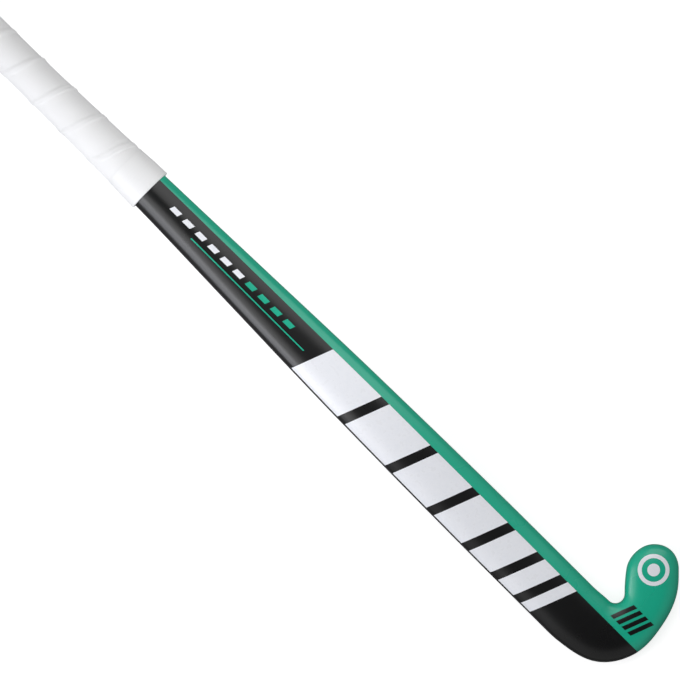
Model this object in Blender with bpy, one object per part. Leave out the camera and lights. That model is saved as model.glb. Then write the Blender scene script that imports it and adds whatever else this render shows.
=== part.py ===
"""Indoor hockey stick: a hollow laminate shell on foam cores, with a wound grip and transfers.

Everything is in metres with +Z up. The stick lies on its flat playing face, with its
rounded back up. +X runs from the butt to the head, and +Y from the heel to the toe.
The shapes are drawn in the stick's own coordinates, where X is 0 at the front of the
head, Y is 0 on the axis of the shaft and Z is 0 on the playing face. An empty then
puts the origin under the middle of the stick.
"""

from math import acos, cos, pi, radians, sin

import bmesh
import bpy
from mathutils import Vector
from mathutils.bvhtree import BVHTree

# Whole stick
LENGTH = 0.927
CLEARANCE = 0.0003

# Stations of the shaft, measured back from the front of the head
SHOULDER_AT = 0.115
THROAT_AT = 0.300
WAIST_AT = 0.430
GRIP_END_AT = 0.5285
HANDLE_AT = 0.700

# Width of the shell at each station
SHOULDER_WIDTH = 0.0505
THROAT_WIDTH = 0.0462
WAIST_WIDTH = 0.0387
GRIP_END_WIDTH = 0.0330
HANDLE_WIDTH = 0.0278

# Thickness of the shell at each station, and of the toe
SHOULDER_THICKNESS = 0.0205
THROAT_THICKNESS = 0.0215
GRIP_END_THICKNESS = 0.0235
HANDLE_THICKNESS = 0.0250
TOE_THICKNESS = 0.0190

# The shaft's bow, seen from the side, and how far the handle sits to the heel side
BOW = 0.022
BOW_AT = 0.320
FLAT_LENGTH = 0.110
BUTT_SLOPE = 0.045
HANDLE_SET = 0.0020
HANDLE_SET_FROM_AT = 0.4985

# Cross-section: rounded back, flat face, and a nearly oval handle
WALL = 0.0026
HEAD_BACK_SHAPE = 3.0
HANDLE_BACK_SHAPE = 2.0
HEAD_EDGE_HEIGHT = 0.38
HANDLE_EDGE_HEIGHT = 0.50
FACE_EDGE = 0.0052
HANDLE_FACE_SHARE = 0.98

# Hook: the crook is the tight bend inside it, and depths are measured out from its edge
HOOK_START_AT = 0.062
CROOK_RADIUS = 0.0072
CROOK_RISE = 0.0010
CROOK_TURN = radians(135)
HEEL_SLOPE = 0.14
HEEL_DEPTH = 0.0501
HEEL_CURVE_DEPTH = 0.0481
FRONT_DEPTH = 0.0429
MIDDLE_DEPTH = 0.0378
NECK_DEPTH = 0.0376
TOE_ROOT_DEPTH = 0.0413
TOE_ROOT_SLOPE = 0.24

# Toe: how far it runs past the crook, and its reach round the middle of its round end
TOE_RUN = 0.0195
TOE_INNER_STEP = 0.0014
TOE_REACH_CROOK_SIDE = 0.0207
TOE_REACH_BACK = 0.0190
TOE_REACH_TIP = 0.0198
TOE_REACH_TOP = 0.0210
TOE_FLARE = 0.15

# Pieces inside the shell
CENTRE_RIB_THICKNESS = 0.0016
CORE_JOINT_AT = 0.112
PATCH_THICKNESS = 0.0008
PLUG_DEPTH = 0.022
PLUG_FLANGE = 0.0020
CAP_THICKNESS = 0.0045
CAP_ROUNDING = 0.0015

# Grip: a cushioned strip with thinned edges, wound from the butt, and a tape at its end
GRIP_PITCH = 0.0324
GRIP_OVERLAP = 0.0050
GRIP_THICKNESS = 0.0013
GRIP_EDGE = 0.0005
GRIP_STEP_EDGE = 0.0006
GRIP_SLOPE = 0.0020
TAPE_LENGTH = 0.0285
TAPE_THICKNESS = 0.0004
TAPE_LIP = 0.0030

# Transfers on the back
FILM = 0.00012
BLACK_SIDE_LINE = 0.0135
BLACK_SIDE_LINE_AT_GRIP = 0.0110
BAR_COUNT = 7
BAR_FIRST_LENGTH = 0.052
BAR_LAST_LENGTH = 0.010
BAR_GAP = 0.0085
BAR_ZONE_AT = 0.352
BAR_BORDER = 0.0015
BAR_SLANT = 0.38
PINSTRIPE_WIDTH = 0.0010
PINSTRIPE_Y = -0.0040
PINSTRIPE_FROM_AT = 0.479
PINSTRIPE_LENGTH = 0.124
DASH_COUNT = 10
SILVER_DASH_COUNT = 6
DASH_FROM_AT = 0.507
DASH_PITCH = 0.0138
DASH_LENGTH = 0.0085
DASH_WIDTH = 0.0042
DASH_Y = 0.0025
RING_RADIUS = 0.0125
RING_WIDTH = 0.0032
DOT_RADIUS = 0.0050
NECK_BAR_COUNT = 4
NECK_BAR_LENGTH = 0.0190
NECK_BAR_WIDTH = 0.0038
NECK_BAR_PITCH = 0.0062
NECK_BARS_AT = 0.0375
NECK_BARS_Y = 0.0185
EDGE_ANGLE = radians(13)
BLACK_SIDE_FROM_ANGLE = radians(54)

# How finely each curve is cut
SHAFT_STEP = 0.020
STATION_MARGIN = 0.002
HANDLE_STEP = 0.045
HOOK_STEP = 0.005
CROOK_STEP = radians(9)
NOSE_STEP = radians(3)
TOE_STEPS = 3
TOE_FAN_STEPS = 12
BACK_STEPS = 6
CORNER_STEPS = 3
GRIP_TURN_STEPS = 20
FILM_SLIVER = radians(2)
RING_STEPS = 24
NECK_BAR_STEPS = 6

# Finishes: base colour, roughness and metallic value
FINISHES = {
    "green_lacquer": ((0.022, 0.381, 0.223), 0.35, 0.0),
    "black_film": ((0.008, 0.008, 0.009), 0.38, 0.0),
    "silver_film": ((0.660, 0.680, 0.720), 0.35, 0.0),
    "green_film": ((0.022, 0.381, 0.223), 0.38, 0.0),
    "white_cushion": ((0.880, 0.880, 0.870), 0.70, 0.0),
    "white_tape": ((0.900, 0.900, 0.900), 0.55, 0.0),
    "black_rubber": ((0.020, 0.020, 0.020), 0.80, 0.0),
    "black_nylon": ((0.030, 0.030, 0.032), 0.55, 0.0),
    "bare_laminate": ((0.040, 0.040, 0.042), 0.50, 0.0),
    "aramid": ((0.700, 0.520, 0.120), 0.60, 0.0),
    "foam": ((0.780, 0.680, 0.420), 0.95, 0.0),
}


def smooth(knots, x, start_slope=None, end_slope=None):
    """A cubic curve through (x, y) knots in rising x, level outside them unless sloped."""
    last = len(knots) - 1
    if x <= knots[0][0]:
        return knots[0][1]
    if x >= knots[last][0]:
        return knots[last][1]

    def slope(i):
        if i == 0 and start_slope is not None:
            return start_slope
        if i == last and end_slope is not None:
            return end_slope
        if i in (0, last):
            return 0.0
        return (knots[i + 1][1] - knots[i - 1][1]) / (knots[i + 1][0] - knots[i - 1][0])

    i = max(k for k in range(last) if knots[k][0] <= x)
    x0, y0 = knots[i]
    x1, y1 = knots[i + 1]
    span = x1 - x0
    t = (x - x0) / span
    ease = t * t * (3 - 2 * t)
    lead_in = t * (1 - t) ** 2 * span * slope(i)
    lead_out = t * t * (t - 1) * span * slope(i + 1)
    return y0 + (y1 - y0) * ease + lead_in + lead_out


# The shaft as functions of the distance back from the front of the head

def shaft_width(at):
    knots = [(SHOULDER_AT, SHOULDER_WIDTH), (THROAT_AT, THROAT_WIDTH), (WAIST_AT, WAIST_WIDTH),
             (GRIP_END_AT, GRIP_END_WIDTH), (HANDLE_AT, HANDLE_WIDTH)]
    return smooth(knots, at)


def shaft_thickness(at):
    knots = [(0.0, TOE_THICKNESS), (SHOULDER_AT, SHOULDER_THICKNESS), (THROAT_AT, THROAT_THICKNESS),
             (GRIP_END_AT, GRIP_END_THICKNESS), (HANDLE_AT, HANDLE_THICKNESS)]
    return smooth(knots, at)


def face_height(at):
    """Height of the playing face: flat under the head, bowed along the shaft."""
    grip_build = CLEARANCE + GRIP_THICKNESS + CLEARANCE + GRIP_EDGE
    knots = [(FLAT_LENGTH, 0.0), (BOW_AT, BOW), (LENGTH, grip_build)]
    slope_at_bow = 0.0
    if at > BOW_AT:
        return smooth(knots[1:], at, slope_at_bow, -BUTT_SLOPE)
    return smooth(knots[:2], at)


def roundness(at):
    """0 where the section has a flat face, 1 where it is the oval of the handle."""
    return smooth([(THROAT_AT, 0.0), (GRIP_END_AT, 1.0)], at)


def handle_offset(at):
    return -HANDLE_SET * smooth([(HANDLE_SET_FROM_AT, 0.0), (HANDLE_AT, 1.0)], at)


class Rib:
    """One cross-section: a line across the stick in plan, and the heights over it."""

    def __init__(self, toe_side, heel_side, at):
        self.middle = (toe_side + heel_side) / 2
        self.half = (toe_side - heel_side).length / 2
        self.across = (toe_side - heel_side).normalized()
        round_share = roundness(at)
        thickness = shaft_thickness(at)
        edge_share = HEAD_EDGE_HEIGHT + (HANDLE_EDGE_HEIGHT - HEAD_EDGE_HEIGHT) * round_share
        face_edge = FACE_EDGE + (HANDLE_FACE_SHARE * self.half - FACE_EDGE) * round_share
        self.flat = self.half - face_edge
        self.shape = HEAD_BACK_SHAPE + (HANDLE_BACK_SHAPE - HEAD_BACK_SHAPE) * round_share
        self.edge_z = face_height(at) + edge_share * thickness
        self.rise = (1 - edge_share) * thickness
        self.drop = edge_share * thickness

    def point(self, sideways, z):
        place = self.middle + self.across * sideways
        return Vector((place.x, place.y, z))

    def sideways(self, angle, offset=0.0):
        """How far from the middle the back is at an angle."""
        reach = abs(cos(angle)) ** (2 / self.shape) * (self.half + offset)
        return reach if angle <= pi / 2 else -reach

    def back(self, angle, offset=0.0):
        """The back at an angle: 0 at the toe-side edge, pi/2 on top, pi at the heel side."""
        height = abs(sin(angle)) ** (2 / self.shape) * (self.rise + offset)
        return self.point(self.sideways(angle, offset), self.edge_z + height)

    def face(self, angle, offset=0.0):
        """The face side: 0 at the toe-side edge, pi/2 where the flat starts, then mirrored."""
        edge = self.half - self.flat + offset
        side = 1 if angle <= pi / 2 else -1
        sideways = side * self.flat + edge * cos(angle)
        return self.point(sideways, self.edge_z - sin(angle) * (self.drop + offset))

    def around(self, turn, offset):
        """The oval of the handle, by angle right round, for what is wound on it."""
        edge = self.half + offset
        height = self.rise if sin(turn) > 0 else self.drop
        return self.point(edge * cos(turn), self.edge_z + sin(turn) * (height + offset))

    def angle_at(self, sideways):
        """The angle of the back over a place that lies sideways of the middle."""
        share = max(-1.0, min(1.0, sideways / self.half))
        angle = acos(abs(share) ** (self.shape / 2))
        return angle if share >= 0 else pi - angle


def shaft_rib(at):
    """A rib straight across the shaft, this far back from the front."""
    half = shaft_width(at) / 2
    y = handle_offset(at)
    toe_side = half
    heel_side = half
    if at < HOOK_START_AT:
        toe_side = smooth([(CROOK_AT, half + CROOK_RISE), (HOOK_START_AT, half)], at)
        heel_side = smooth([(CROOK_AT, HEEL_SIDE_AT_CROOK), (HOOK_START_AT, half)], at, HEEL_SLOPE)
    return Rib(Vector((-at, y + toe_side)), Vector((-at, y - heel_side)), at)


def evenly(start, end, step):
    count = round(abs(end - start) / step)
    return [start + (end - start) * i / count for i in range(count + 1)]


# The crook starts straight across the shaft, at the heel, and turns to the toe
CROOK_END_ANGLE = CROOK_TURN - pi / 2


def hook_depth(angle):
    """Depth of the head outward from the crook, by angle from the heel to the toe's root."""
    knots = [(-pi / 2, HEEL_DEPTH), (-pi / 3, HEEL_CURVE_DEPTH), (-pi / 6, FRONT_DEPTH),
             (0.0, MIDDLE_DEPTH), (pi / 9, NECK_DEPTH), (CROOK_END_ANGLE, TOE_ROOT_DEPTH)]
    start = -HEEL_SLOPE * (CROOK_RADIUS + HEEL_DEPTH)
    end = TOE_ROOT_SLOPE * (CROOK_RADIUS + TOE_ROOT_DEPTH)
    return smooth(knots, angle, start, end)


CROOK_ANGLES = evenly(-pi / 2, CROOK_END_ANGLE, CROOK_STEP)
CROOK_AT = max((CROOK_RADIUS + hook_depth(a)) * cos(a) for a in CROOK_ANGLES)
CROOK_CENTRE = Vector((-CROOK_AT, SHOULDER_WIDTH / 2 + CROOK_RISE + CROOK_RADIUS))
HEEL_SIDE_AT_CROOK = CROOK_RADIUS + HEEL_DEPTH - CROOK_CENTRE.y
TOE_WAY = Vector((cos(CROOK_TURN), sin(CROOK_TURN)))
TOE_ACROSS = Vector((cos(CROOK_END_ANGLE), sin(CROOK_END_ANGLE)))


def crook_rib(angle):
    """A rib that points away from the middle of the crook."""
    way = Vector((cos(angle), sin(angle)))
    toe_side = CROOK_CENTRE + way * CROOK_RADIUS
    heel_side = CROOK_CENTRE + way * (CROOK_RADIUS + hook_depth(angle))
    return Rib(toe_side, heel_side, -heel_side.x)


def toe_rib(run):
    """A rib across the toe, this far along it from the end of the crook."""
    inner_end = CROOK_RADIUS + TOE_INNER_STEP
    inner = smooth([(0.0, CROOK_RADIUS), (TOE_RUN, inner_end)], run, 0.0, TOE_FLARE)
    root = CROOK_RADIUS + TOE_ROOT_DEPTH
    outer_end = inner_end + 2 * TOE_REACH_CROOK_SIDE
    outer = smooth([(0.0, root), (TOE_RUN, outer_end)], run, TOE_ROOT_SLOPE, 0.0)
    start = CROOK_CENTRE + TOE_WAY * run
    return Rib(start + TOE_ACROSS * inner, start + TOE_ACROSS * outer, 0.0)


def toe_reach(angle):
    """Reach of the toe's round end, by angle from the outer side (0) to the crook side (pi)."""
    knots = [(0.0, TOE_REACH_CROOK_SIDE), (pi / 4, TOE_REACH_TOP), (pi / 2, TOE_REACH_TIP),
             (0.75 * pi, TOE_REACH_BACK), (pi, TOE_REACH_CROOK_SIDE)]
    return smooth(knots, angle, 0.0, TOE_FLARE * TOE_REACH_CROOK_SIDE)


def hook_start_ribs():
    """The ribs where the edges leave the shaft, short of the crook."""
    return [shaft_rib(at) for at in evenly(HOOK_START_AT, CROOK_AT, HOOK_STEP)[:-1]]


def head_ribs():
    """Every rib from the start of the hook to the middle of the toe's round end."""
    crook = [crook_rib(angle) for angle in CROOK_ANGLES]
    toe = [toe_rib(TOE_RUN * (i + 1) / TOE_STEPS) for i in range(TOE_STEPS)]
    return hook_start_ribs() + crook + toe


# The butt, counted back from its end
FLANGE_END_AT = LENGTH - CAP_THICKNESS - CLEARANCE
SHELL_END_AT = FLANGE_END_AT - PLUG_FLANGE - CLEARANCE
CORE_START_AT = SHELL_END_AT - PLUG_DEPTH - CLEARANCE
CAP_OFFSET = CLEARANCE + GRIP_THICKNESS

# Stations that every piece along the shaft shares, so that their facets lie side by side
SHAFT_STATIONS = (evenly(SHELL_END_AT, GRIP_END_AT, HANDLE_STEP)[1:]
                  + evenly(GRIP_END_AT, HOOK_START_AT, SHAFT_STEP)[1:-1])


def shaft_ribs(at_from, at_to):
    """Ribs along the shaft towards the head, at the stations that every piece shares."""
    between = [at for at in SHAFT_STATIONS if at_to + STATION_MARGIN < at < at_from - STATION_MARGIN]
    return [shaft_rib(at) for at in [at_from] + between + [at_to]]


# Sections as closed loops of points

BACK_ANGLES = [pi * i / (2 * BACK_STEPS) for i in range(2 * BACK_STEPS + 1)]


def section(rib, offset=0.0, raise_face=0.0):
    """The whole outline, over the back from the toe side and home along the face."""
    loop = [rib.back(angle, offset) for angle in BACK_ANGLES]
    heel_corner = [pi - pi / 2 * i / CORNER_STEPS for i in range(1, CORNER_STEPS)]
    toe_corner = [pi / 2 * i / CORNER_STEPS for i in range(CORNER_STEPS - 1, 0, -1)]
    loop += [rib.face(angle, offset) for angle in heel_corner]
    edge = rib.edge_z - rib.drop - offset
    loop += [rib.point(-rib.flat, edge), rib.point(rib.flat, edge)]
    loop += [rib.face(angle, offset) for angle in toe_corner]
    lowest = edge + raise_face
    return [Vector((p.x, p.y, max(p.z, lowest))) for p in loop]


def half_section(rib, side, inset, middle_gap):
    """One side of a section, cut off at a gap from the middle: side 1 is the toe's."""
    def mirrored(angle):
        return angle if side > 0 else pi - angle

    def on_face(sideways):
        edge = rib.half - rib.flat - inset
        return acos(max(0.0, sideways - rib.flat) / edge)

    top = rib.angle_at(middle_gap * rib.half / (rib.half - inset))
    backs = [pi / 2 * i / BACK_STEPS for i in range(BACK_STEPS)] + [top]
    loop = [rib.back(mirrored(angle), -inset) for angle in backs]
    foot = rib.face(mirrored(on_face(middle_gap)), -inset)
    loop.append(rib.point(side * middle_gap, foot.z))
    corner_start = max(rib.flat, middle_gap + 2 * CLEARANCE)
    corner = rib.face(mirrored(on_face(corner_start)), -inset)
    loop.append(rib.point(side * corner_start, corner.z))
    lower = [pi / 2 * i / CORNER_STEPS for i in range(CORNER_STEPS - 1, 0, -1)]
    loop += [rib.face(mirrored(angle), -inset) for angle in lower]
    return loop


# Meshes

def material(finish):
    made = bpy.data.materials.get(finish)
    if made:
        return made
    colour, roughness, metallic = FINISHES[finish]
    made = bpy.data.materials.new(finish)
    made.use_nodes = True
    shader = made.node_tree.nodes["Principled BSDF"]
    shader.inputs["Base Color"].default_value = (*colour, 1.0)
    shader.inputs["Roughness"].default_value = roughness
    shader.inputs["Metallic"].default_value = metallic
    made.diffuse_color = (*colour, 1.0)
    return made


def finish_piece(name, mesh_work, finish, parent, sharp=35):
    """Turn the worked mesh into a named object with its own finish."""
    bmesh.ops.recalc_face_normals(mesh_work, faces=mesh_work.faces)
    if mesh_work.calc_volume(signed=True) < 0:
        bmesh.ops.reverse_faces(mesh_work, faces=mesh_work.faces)
    mesh = bpy.data.meshes.new(name)
    mesh_work.to_mesh(mesh)
    mesh_work.free()
    mesh.shade_smooth()
    mesh.set_sharp_from_angle(angle=radians(sharp))
    mesh.materials.append(material(finish))
    piece = bpy.data.objects.new(name, mesh)
    bpy.context.scene.collection.objects.link(piece)
    piece.parent = parent
    return piece


def add_ring(work, points):
    return [work.verts.new(p) for p in points]


def bridge(work, first, second, closed=True):
    """A band of faces between two rings of equal length."""
    count = len(first)
    for i in range(count if closed else count - 1):
        j = (i + 1) % count
        work.faces.new((first[i], first[j], second[j], second[i]))


def loft(work, rings, closed_ends=True):
    """A skin over rings of points, with flat ends unless they are left open."""
    made = [add_ring(work, ring) for ring in rings]
    for first, second in zip(made, made[1:]):
        bridge(work, first, second)
    if closed_ends:
        work.faces.new(made[0])
        work.faces.new(made[-1])
    return made


def lofted_piece(name, rings, finish, parent):
    work = bmesh.new()
    loft(work, rings)
    return finish_piece(name, work, finish, parent)


# The shell

def close_toe(work, last_ring, rib):
    """Carry the last full ring round the toe's end, as half sections that turn about its middle."""
    top = 2 * BACK_STEPS + 1
    crook_side = last_ring[:BACK_STEPS]
    crook_side_low = last_ring[:-CORNER_STEPS - 1:-1]
    outer_side = last_ring[top - 1:BACK_STEPS:-1]
    outer_side_low = last_ring[top:top + CORNER_STEPS]
    pole = last_ring[BACK_STEPS]
    flat_edge = rib.half - rib.flat

    def half_rib(angle):
        reach = toe_reach(angle)
        way = TOE_ACROSS * cos(angle) + TOE_WAY * sin(angle)
        upper = []
        for i in range(BACK_STEPS):
            lean = pi / 2 * i / BACK_STEPS
            place = rib.middle + way * reach * cos(lean) ** (2 / rib.shape)
            height = rib.edge_z + rib.rise * sin(lean) ** (2 / rib.shape)
            upper.append(Vector((place.x, place.y, height)))
        lower = []
        for i in range(1, CORNER_STEPS + 1):
            lean = pi / 2 * i / CORNER_STEPS
            place = rib.middle + way * (reach - flat_edge * (1 - cos(lean)))
            lower.append(Vector((place.x, place.y, rib.edge_z - rib.drop * sin(lean))))
        return add_ring(work, upper), add_ring(work, lower)

    fan = [(outer_side, outer_side_low)]
    fan += [half_rib(pi * i / TOE_FAN_STEPS) for i in range(1, TOE_FAN_STEPS)]
    fan.append((crook_side, crook_side_low))
    for (upper, lower), (next_upper, next_lower) in zip(fan, fan[1:]):
        bridge(work, upper, next_upper, closed=False)
        bridge(work, [upper[0]] + lower, [next_upper[0]] + next_lower, closed=False)
        work.faces.new((upper[-1], next_upper[-1], pole))
    work.faces.new([lower[-1] for _, lower in fan])


def laminate_shell(parent):
    """The moulded tube and head, open at the butt, hollow as far as the middle of the toe."""
    head = head_ribs()
    shaft = shaft_ribs(SHELL_END_AT, HOOK_START_AT)[:-1]
    work = bmesh.new()
    outer = loft(work, [section(rib) for rib in shaft + head], closed_ends=False)
    close_toe(work, outer[-1], head[-1])
    inner = loft(work, [section(rib, -WALL) for rib in shaft + head], closed_ends=False)
    work.faces.new(inner[-1])
    bridge(work, outer[0], inner[0])
    return finish_piece("laminate_shell", work, "green_lacquer", parent)


# The pieces inside

def centre_rib(parent):
    """The wall that ties the face to the back along the shaft."""
    rings = []
    half = CENTRE_RIB_THICKNESS / 2
    for rib in shaft_ribs(CORE_START_AT, CORE_JOINT_AT):
        floor = rib.edge_z - rib.drop + WALL + CLEARANCE
        ceiling = rib.back(rib.angle_at(half), -WALL - CLEARANCE).z
        rings.append([rib.point(-half, floor), rib.point(half, floor),
                      rib.point(half, ceiling), rib.point(-half, ceiling)])
    return lofted_piece("centre_rib", rings, "bare_laminate", parent)


def shaft_core(name, side, parent):
    """The foam beside the centre rib."""
    gap = CENTRE_RIB_THICKNESS / 2 + CLEARANCE
    ribs = shaft_ribs(CORE_START_AT, CORE_JOINT_AT)
    rings = [half_section(rib, side, WALL + CLEARANCE, gap) for rib in ribs]
    return lofted_piece(name, rings, "foam", parent)


def ribs_inside_head():
    """The head's ribs, from the joint of the cores to short of the end of the hollow."""
    ribs = shaft_ribs(CORE_JOINT_AT - CLEARANCE, HOOK_START_AT)[:-1] + head_ribs()[:-1]
    return ribs + [toe_rib(TOE_RUN - CLEARANCE)]


def aramid_patch(parent):
    """The tough plate bonded behind the playing face of the head."""
    low = WALL + CLEARANCE
    rings = []
    for rib in ribs_inside_head():
        floor = rib.edge_z - rib.drop
        half = rib.flat
        rings.append([rib.point(-half, floor + low), rib.point(half, floor + low),
                      rib.point(half, floor + low + PATCH_THICKNESS),
                      rib.point(-half, floor + low + PATCH_THICKNESS)])
    return lofted_piece("aramid_patch", rings, "aramid", parent)


def head_core(parent):
    """The foam that fills the head above the patch."""
    inset = WALL + CLEARANCE
    lift = PATCH_THICKNESS + CLEARANCE
    rings = [section(rib, -inset, lift) for rib in ribs_inside_head()]
    return lofted_piece("head_core", rings, "foam", parent)


def butt_plug(parent):
    """A stopper with a flange as wide as the shell, and a shank inside it."""
    inset = -WALL - CLEARANCE
    flange_at = (FLANGE_END_AT, FLANGE_END_AT - PLUG_FLANGE)
    shank_at = (FLANGE_END_AT - PLUG_FLANGE, SHELL_END_AT - PLUG_DEPTH)
    rings = [section(shaft_rib(at)) for at in flange_at]
    rings += [section(shaft_rib(at), inset) for at in shank_at]
    return lofted_piece("butt_plug", rings, "black_nylon", parent)


def butt_cap(parent):
    """The rounded pad on the end of the handle, as wide as the grip."""
    ends = [(LENGTH, CAP_OFFSET - CAP_ROUNDING),
            (LENGTH - CAP_ROUNDING * (1 - cos(pi / 4)), CAP_OFFSET - CAP_ROUNDING * (1 - sin(pi / 4))),
            (LENGTH - CAP_ROUNDING, CAP_OFFSET),
            (LENGTH - CAP_THICKNESS, CAP_OFFSET)]
    turns = [2 * pi * i / GRIP_TURN_STEPS for i in range(GRIP_TURN_STEPS)]
    rings = [[shaft_rib(at).around(turn, offset) for turn in turns] for at, offset in ends]
    return lofted_piece("butt_cap", rings, "black_rubber", parent)


# The grip

def cushion_grip(parent):
    """The strip as one long helix, whose every turn laps over the one before."""
    width = GRIP_PITCH + GRIP_OVERLAP
    lap = CLEARANCE + GRIP_EDGE + CLEARANCE
    start_at = FLANGE_END_AT
    end_at = GRIP_END_AT + TAPE_LIP
    turns = (start_at - end_at) / GRIP_PITCH
    steps = round(turns * GRIP_TURN_STEPS)
    slope_end = GRIP_OVERLAP + CLEARANCE + GRIP_SLOPE

    def profile(riding):
        """Strip section: distance from its butt-side edge, and height over the handle."""
        low = lap if riding else CLEARANCE
        thin = GRIP_STEP_EDGE if riding else GRIP_THICKNESS
        lower = [(0.0, low), (GRIP_OVERLAP + CLEARANCE, low), (slope_end, CLEARANCE), (width, CLEARANCE)]
        top = CLEARANCE + GRIP_THICKNESS
        upper = [(width, CLEARANCE + GRIP_EDGE), (GRIP_PITCH - CLEARANCE, CLEARANCE + GRIP_EDGE),
                 (GRIP_PITCH - GRIP_SLOPE, top), (slope_end, top), (0.0, low + thin)]
        return lower + upper

    rings = []
    for step in range(steps + 1):
        turn = step / GRIP_TURN_STEPS
        edge = start_at - GRIP_PITCH * (turn - 1)
        # the strip lifts onto its own start one step before it gets there
        riding = step >= GRIP_TURN_STEPS - 1
        # over the back, the strip runs from the heel side to the toe side
        angle = -2 * pi * turn
        ring = []
        for along, height in profile(riding):
            at = max(end_at, min(start_at, edge - along))
            ring.append(shaft_rib(at).around(angle, height))
        rings.append(ring)
    return lofted_piece("cushion_grip", rings, "white_cushion", parent)


def finishing_tape(parent):
    """The band of tape that holds down the end of the grip and steps onto the shaft."""
    over_grip = CAP_OFFSET + 2 * CLEARANCE
    far = GRIP_END_AT + TAPE_LENGTH
    profile = [(far, over_grip), (far, over_grip + TAPE_THICKNESS),
               (GRIP_END_AT + CLEARANCE, over_grip + TAPE_THICKNESS), (GRIP_END_AT, over_grip),
               (GRIP_END_AT, CLEARANCE), (GRIP_END_AT + TAPE_LIP / 2, CLEARANCE),
               (GRIP_END_AT + TAPE_LIP - CLEARANCE, over_grip)]
    work = bmesh.new()
    steps = GRIP_TURN_STEPS
    rings = [add_ring(work, [shaft_rib(at).around(2 * pi * i / steps, height)
                             for at, height in profile]) for i in range(steps)]
    for i, ring in enumerate(rings):
        bridge(work, ring, rings[(i + 1) % steps])
    return finish_piece("finishing_tape", work, "white_tape", parent)


# Transfers: thin films that follow the back

def film_between(work, lower, upper, closed=False):
    """A closed film from two equal grids of points, or a closed band of them."""
    low = [add_ring(work, row) for row in lower]
    high = [add_ring(work, row) for row in upper]
    pairs = list(zip(range(len(low)), range(1, len(low))))
    if closed:
        pairs.append((len(low) - 1, 0))
    for i, j in pairs:
        bridge(work, low[i], low[j], closed=False)
        bridge(work, high[i], high[j], closed=False)
        work.faces.new((low[i][0], low[j][0], high[j][0], high[i][0]))
        work.faces.new((low[i][-1], low[j][-1], high[j][-1], high[i][-1]))
    if not closed:
        for low_row, high_row in ((low[0], high[0]), (low[-1], high[-1])):
            bridge(work, low_row, high_row, closed=False)


def black_line(at):
    """Where the black side stops, sideways of the axis."""
    rise = (BLACK_SIDE_LINE - BLACK_SIDE_LINE_AT_GRIP) / (GRIP_END_AT - THROAT_AT)
    return BLACK_SIDE_LINE - rise * max(0.0, at - THROAT_AT)


def black_side(parent):
    """The black half of the back, from the grip to where its line meets the front of the head."""
    heel_edge = pi - EDGE_ANGLE
    shared = [angle for angle in BACK_ANGLES if BLACK_SIDE_FROM_ANGLE < angle < heel_edge]
    grids = [[], []]
    heel = [crook_rib(angle) for angle in evenly(-pi / 2, 0, NOSE_STEP)]
    for rib in shaft_ribs(GRIP_END_AT - CLEARANCE, HOOK_START_AT)[:-1] + hook_start_ribs() + heel:
        first = rib.angle_at((black_line(-rib.middle.x) - rib.middle.y) / rib.across.y)
        if first > heel_edge - FILM_SLIVER * len(shared):
            break
        angles = [max(angle, first + FILM_SLIVER * (i + 1)) for i, angle in enumerate(shared)]
        for grid, height in zip(grids, (CLEARANCE, CLEARANCE + FILM)):
            grid.append([rib.back(angle, height) for angle in [first] + angles + [heel_edge]])
    work = bmesh.new()
    film_between(work, *grids)
    return finish_piece("black_side_transfer", work, "black_film", parent)


def places_across(at, low, high):
    """Places from low to high across the shaft, with the shell's own edges between them."""
    rib = shaft_rib(at)
    own = [rib.sideways(angle) for angle in reversed(BACK_ANGLES)]
    return [low] + [y for y in own if low + CLEARANCE < y < high - CLEARANCE] + [high]


def add_slanted_film(work, at, length, low_y, high_y):
    """A slanted block over the black side, from its heel-side corner, towards the head."""
    bottom = CLEARANCE + FILM + CLEARANCE
    columns = max(1, round(length / SHAFT_STEP))
    middle = at - length / 2
    places = places_across(middle, low_y(middle), high_y(middle))
    grids = [[], []]
    for column in range(columns + 1):
        start = at - length * column / columns
        line = [low_y(start)] + places[1:-1] + [high_y(start)]
        ribs = [shaft_rib(start - BAR_SLANT * (y - line[0])) for y in line]
        for grid, height in zip(grids, (bottom, bottom + FILM)):
            grid.append([rib.back(rib.angle_at(y), height) for rib, y in zip(ribs, line)])
    film_between(work, *grids)


def slanted_bars(parent):
    """The big bars, each shorter than the one before it on the way to the head."""
    at = BAR_ZONE_AT
    for i in range(BAR_COUNT):
        share = i / (BAR_COUNT - 1)
        length = BAR_FIRST_LENGTH + (BAR_LAST_LENGTH - BAR_FIRST_LENGTH) * share
        work = bmesh.new()
        add_slanted_film(work, at, length, lambda x: BAR_BORDER - shaft_width(x) / 2,
                         lambda x: black_line(x) - CLEARANCE)
        finish_piece(f"silver_bar_{i + 1}", work, "silver_film", parent)
        at -= length + BAR_GAP


def pinstripe(parent):
    """The fine green line that runs on from the upper shaft."""
    half = PINSTRIPE_WIDTH / 2
    work = bmesh.new()
    add_slanted_film(work, PINSTRIPE_FROM_AT, PINSTRIPE_LENGTH, lambda x: PINSTRIPE_Y - half,
                     lambda x: PINSTRIPE_Y + half)
    return finish_piece("pinstripe_transfer", work, "green_film", parent)


def dash_row(parent):
    """The row of small slanted dashes below the grip: silver ones, then green ones."""
    half = DASH_WIDTH / 2
    for i in range(DASH_COUNT):
        work = bmesh.new()
        add_slanted_film(work, DASH_FROM_AT - DASH_PITCH * i, DASH_LENGTH,
                         lambda x: DASH_Y - half, lambda x: DASH_Y + half)
        colour = "silver_film" if i < SILVER_DASH_COUNT else "green_film"
        finish_piece(f"dash_{i + 1}", work, colour, parent)


def draped(skin, places, offset):
    """Points over the back of the shell at these places, seen from above."""
    points = []
    for place in places:
        spot, normal, _, _ = skin.ray_cast(Vector((place.x, place.y, 1.0)), Vector((0, 0, -1)))
        points.append(spot + Vector((0, 0, offset / normal.z)))
    return points


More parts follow.
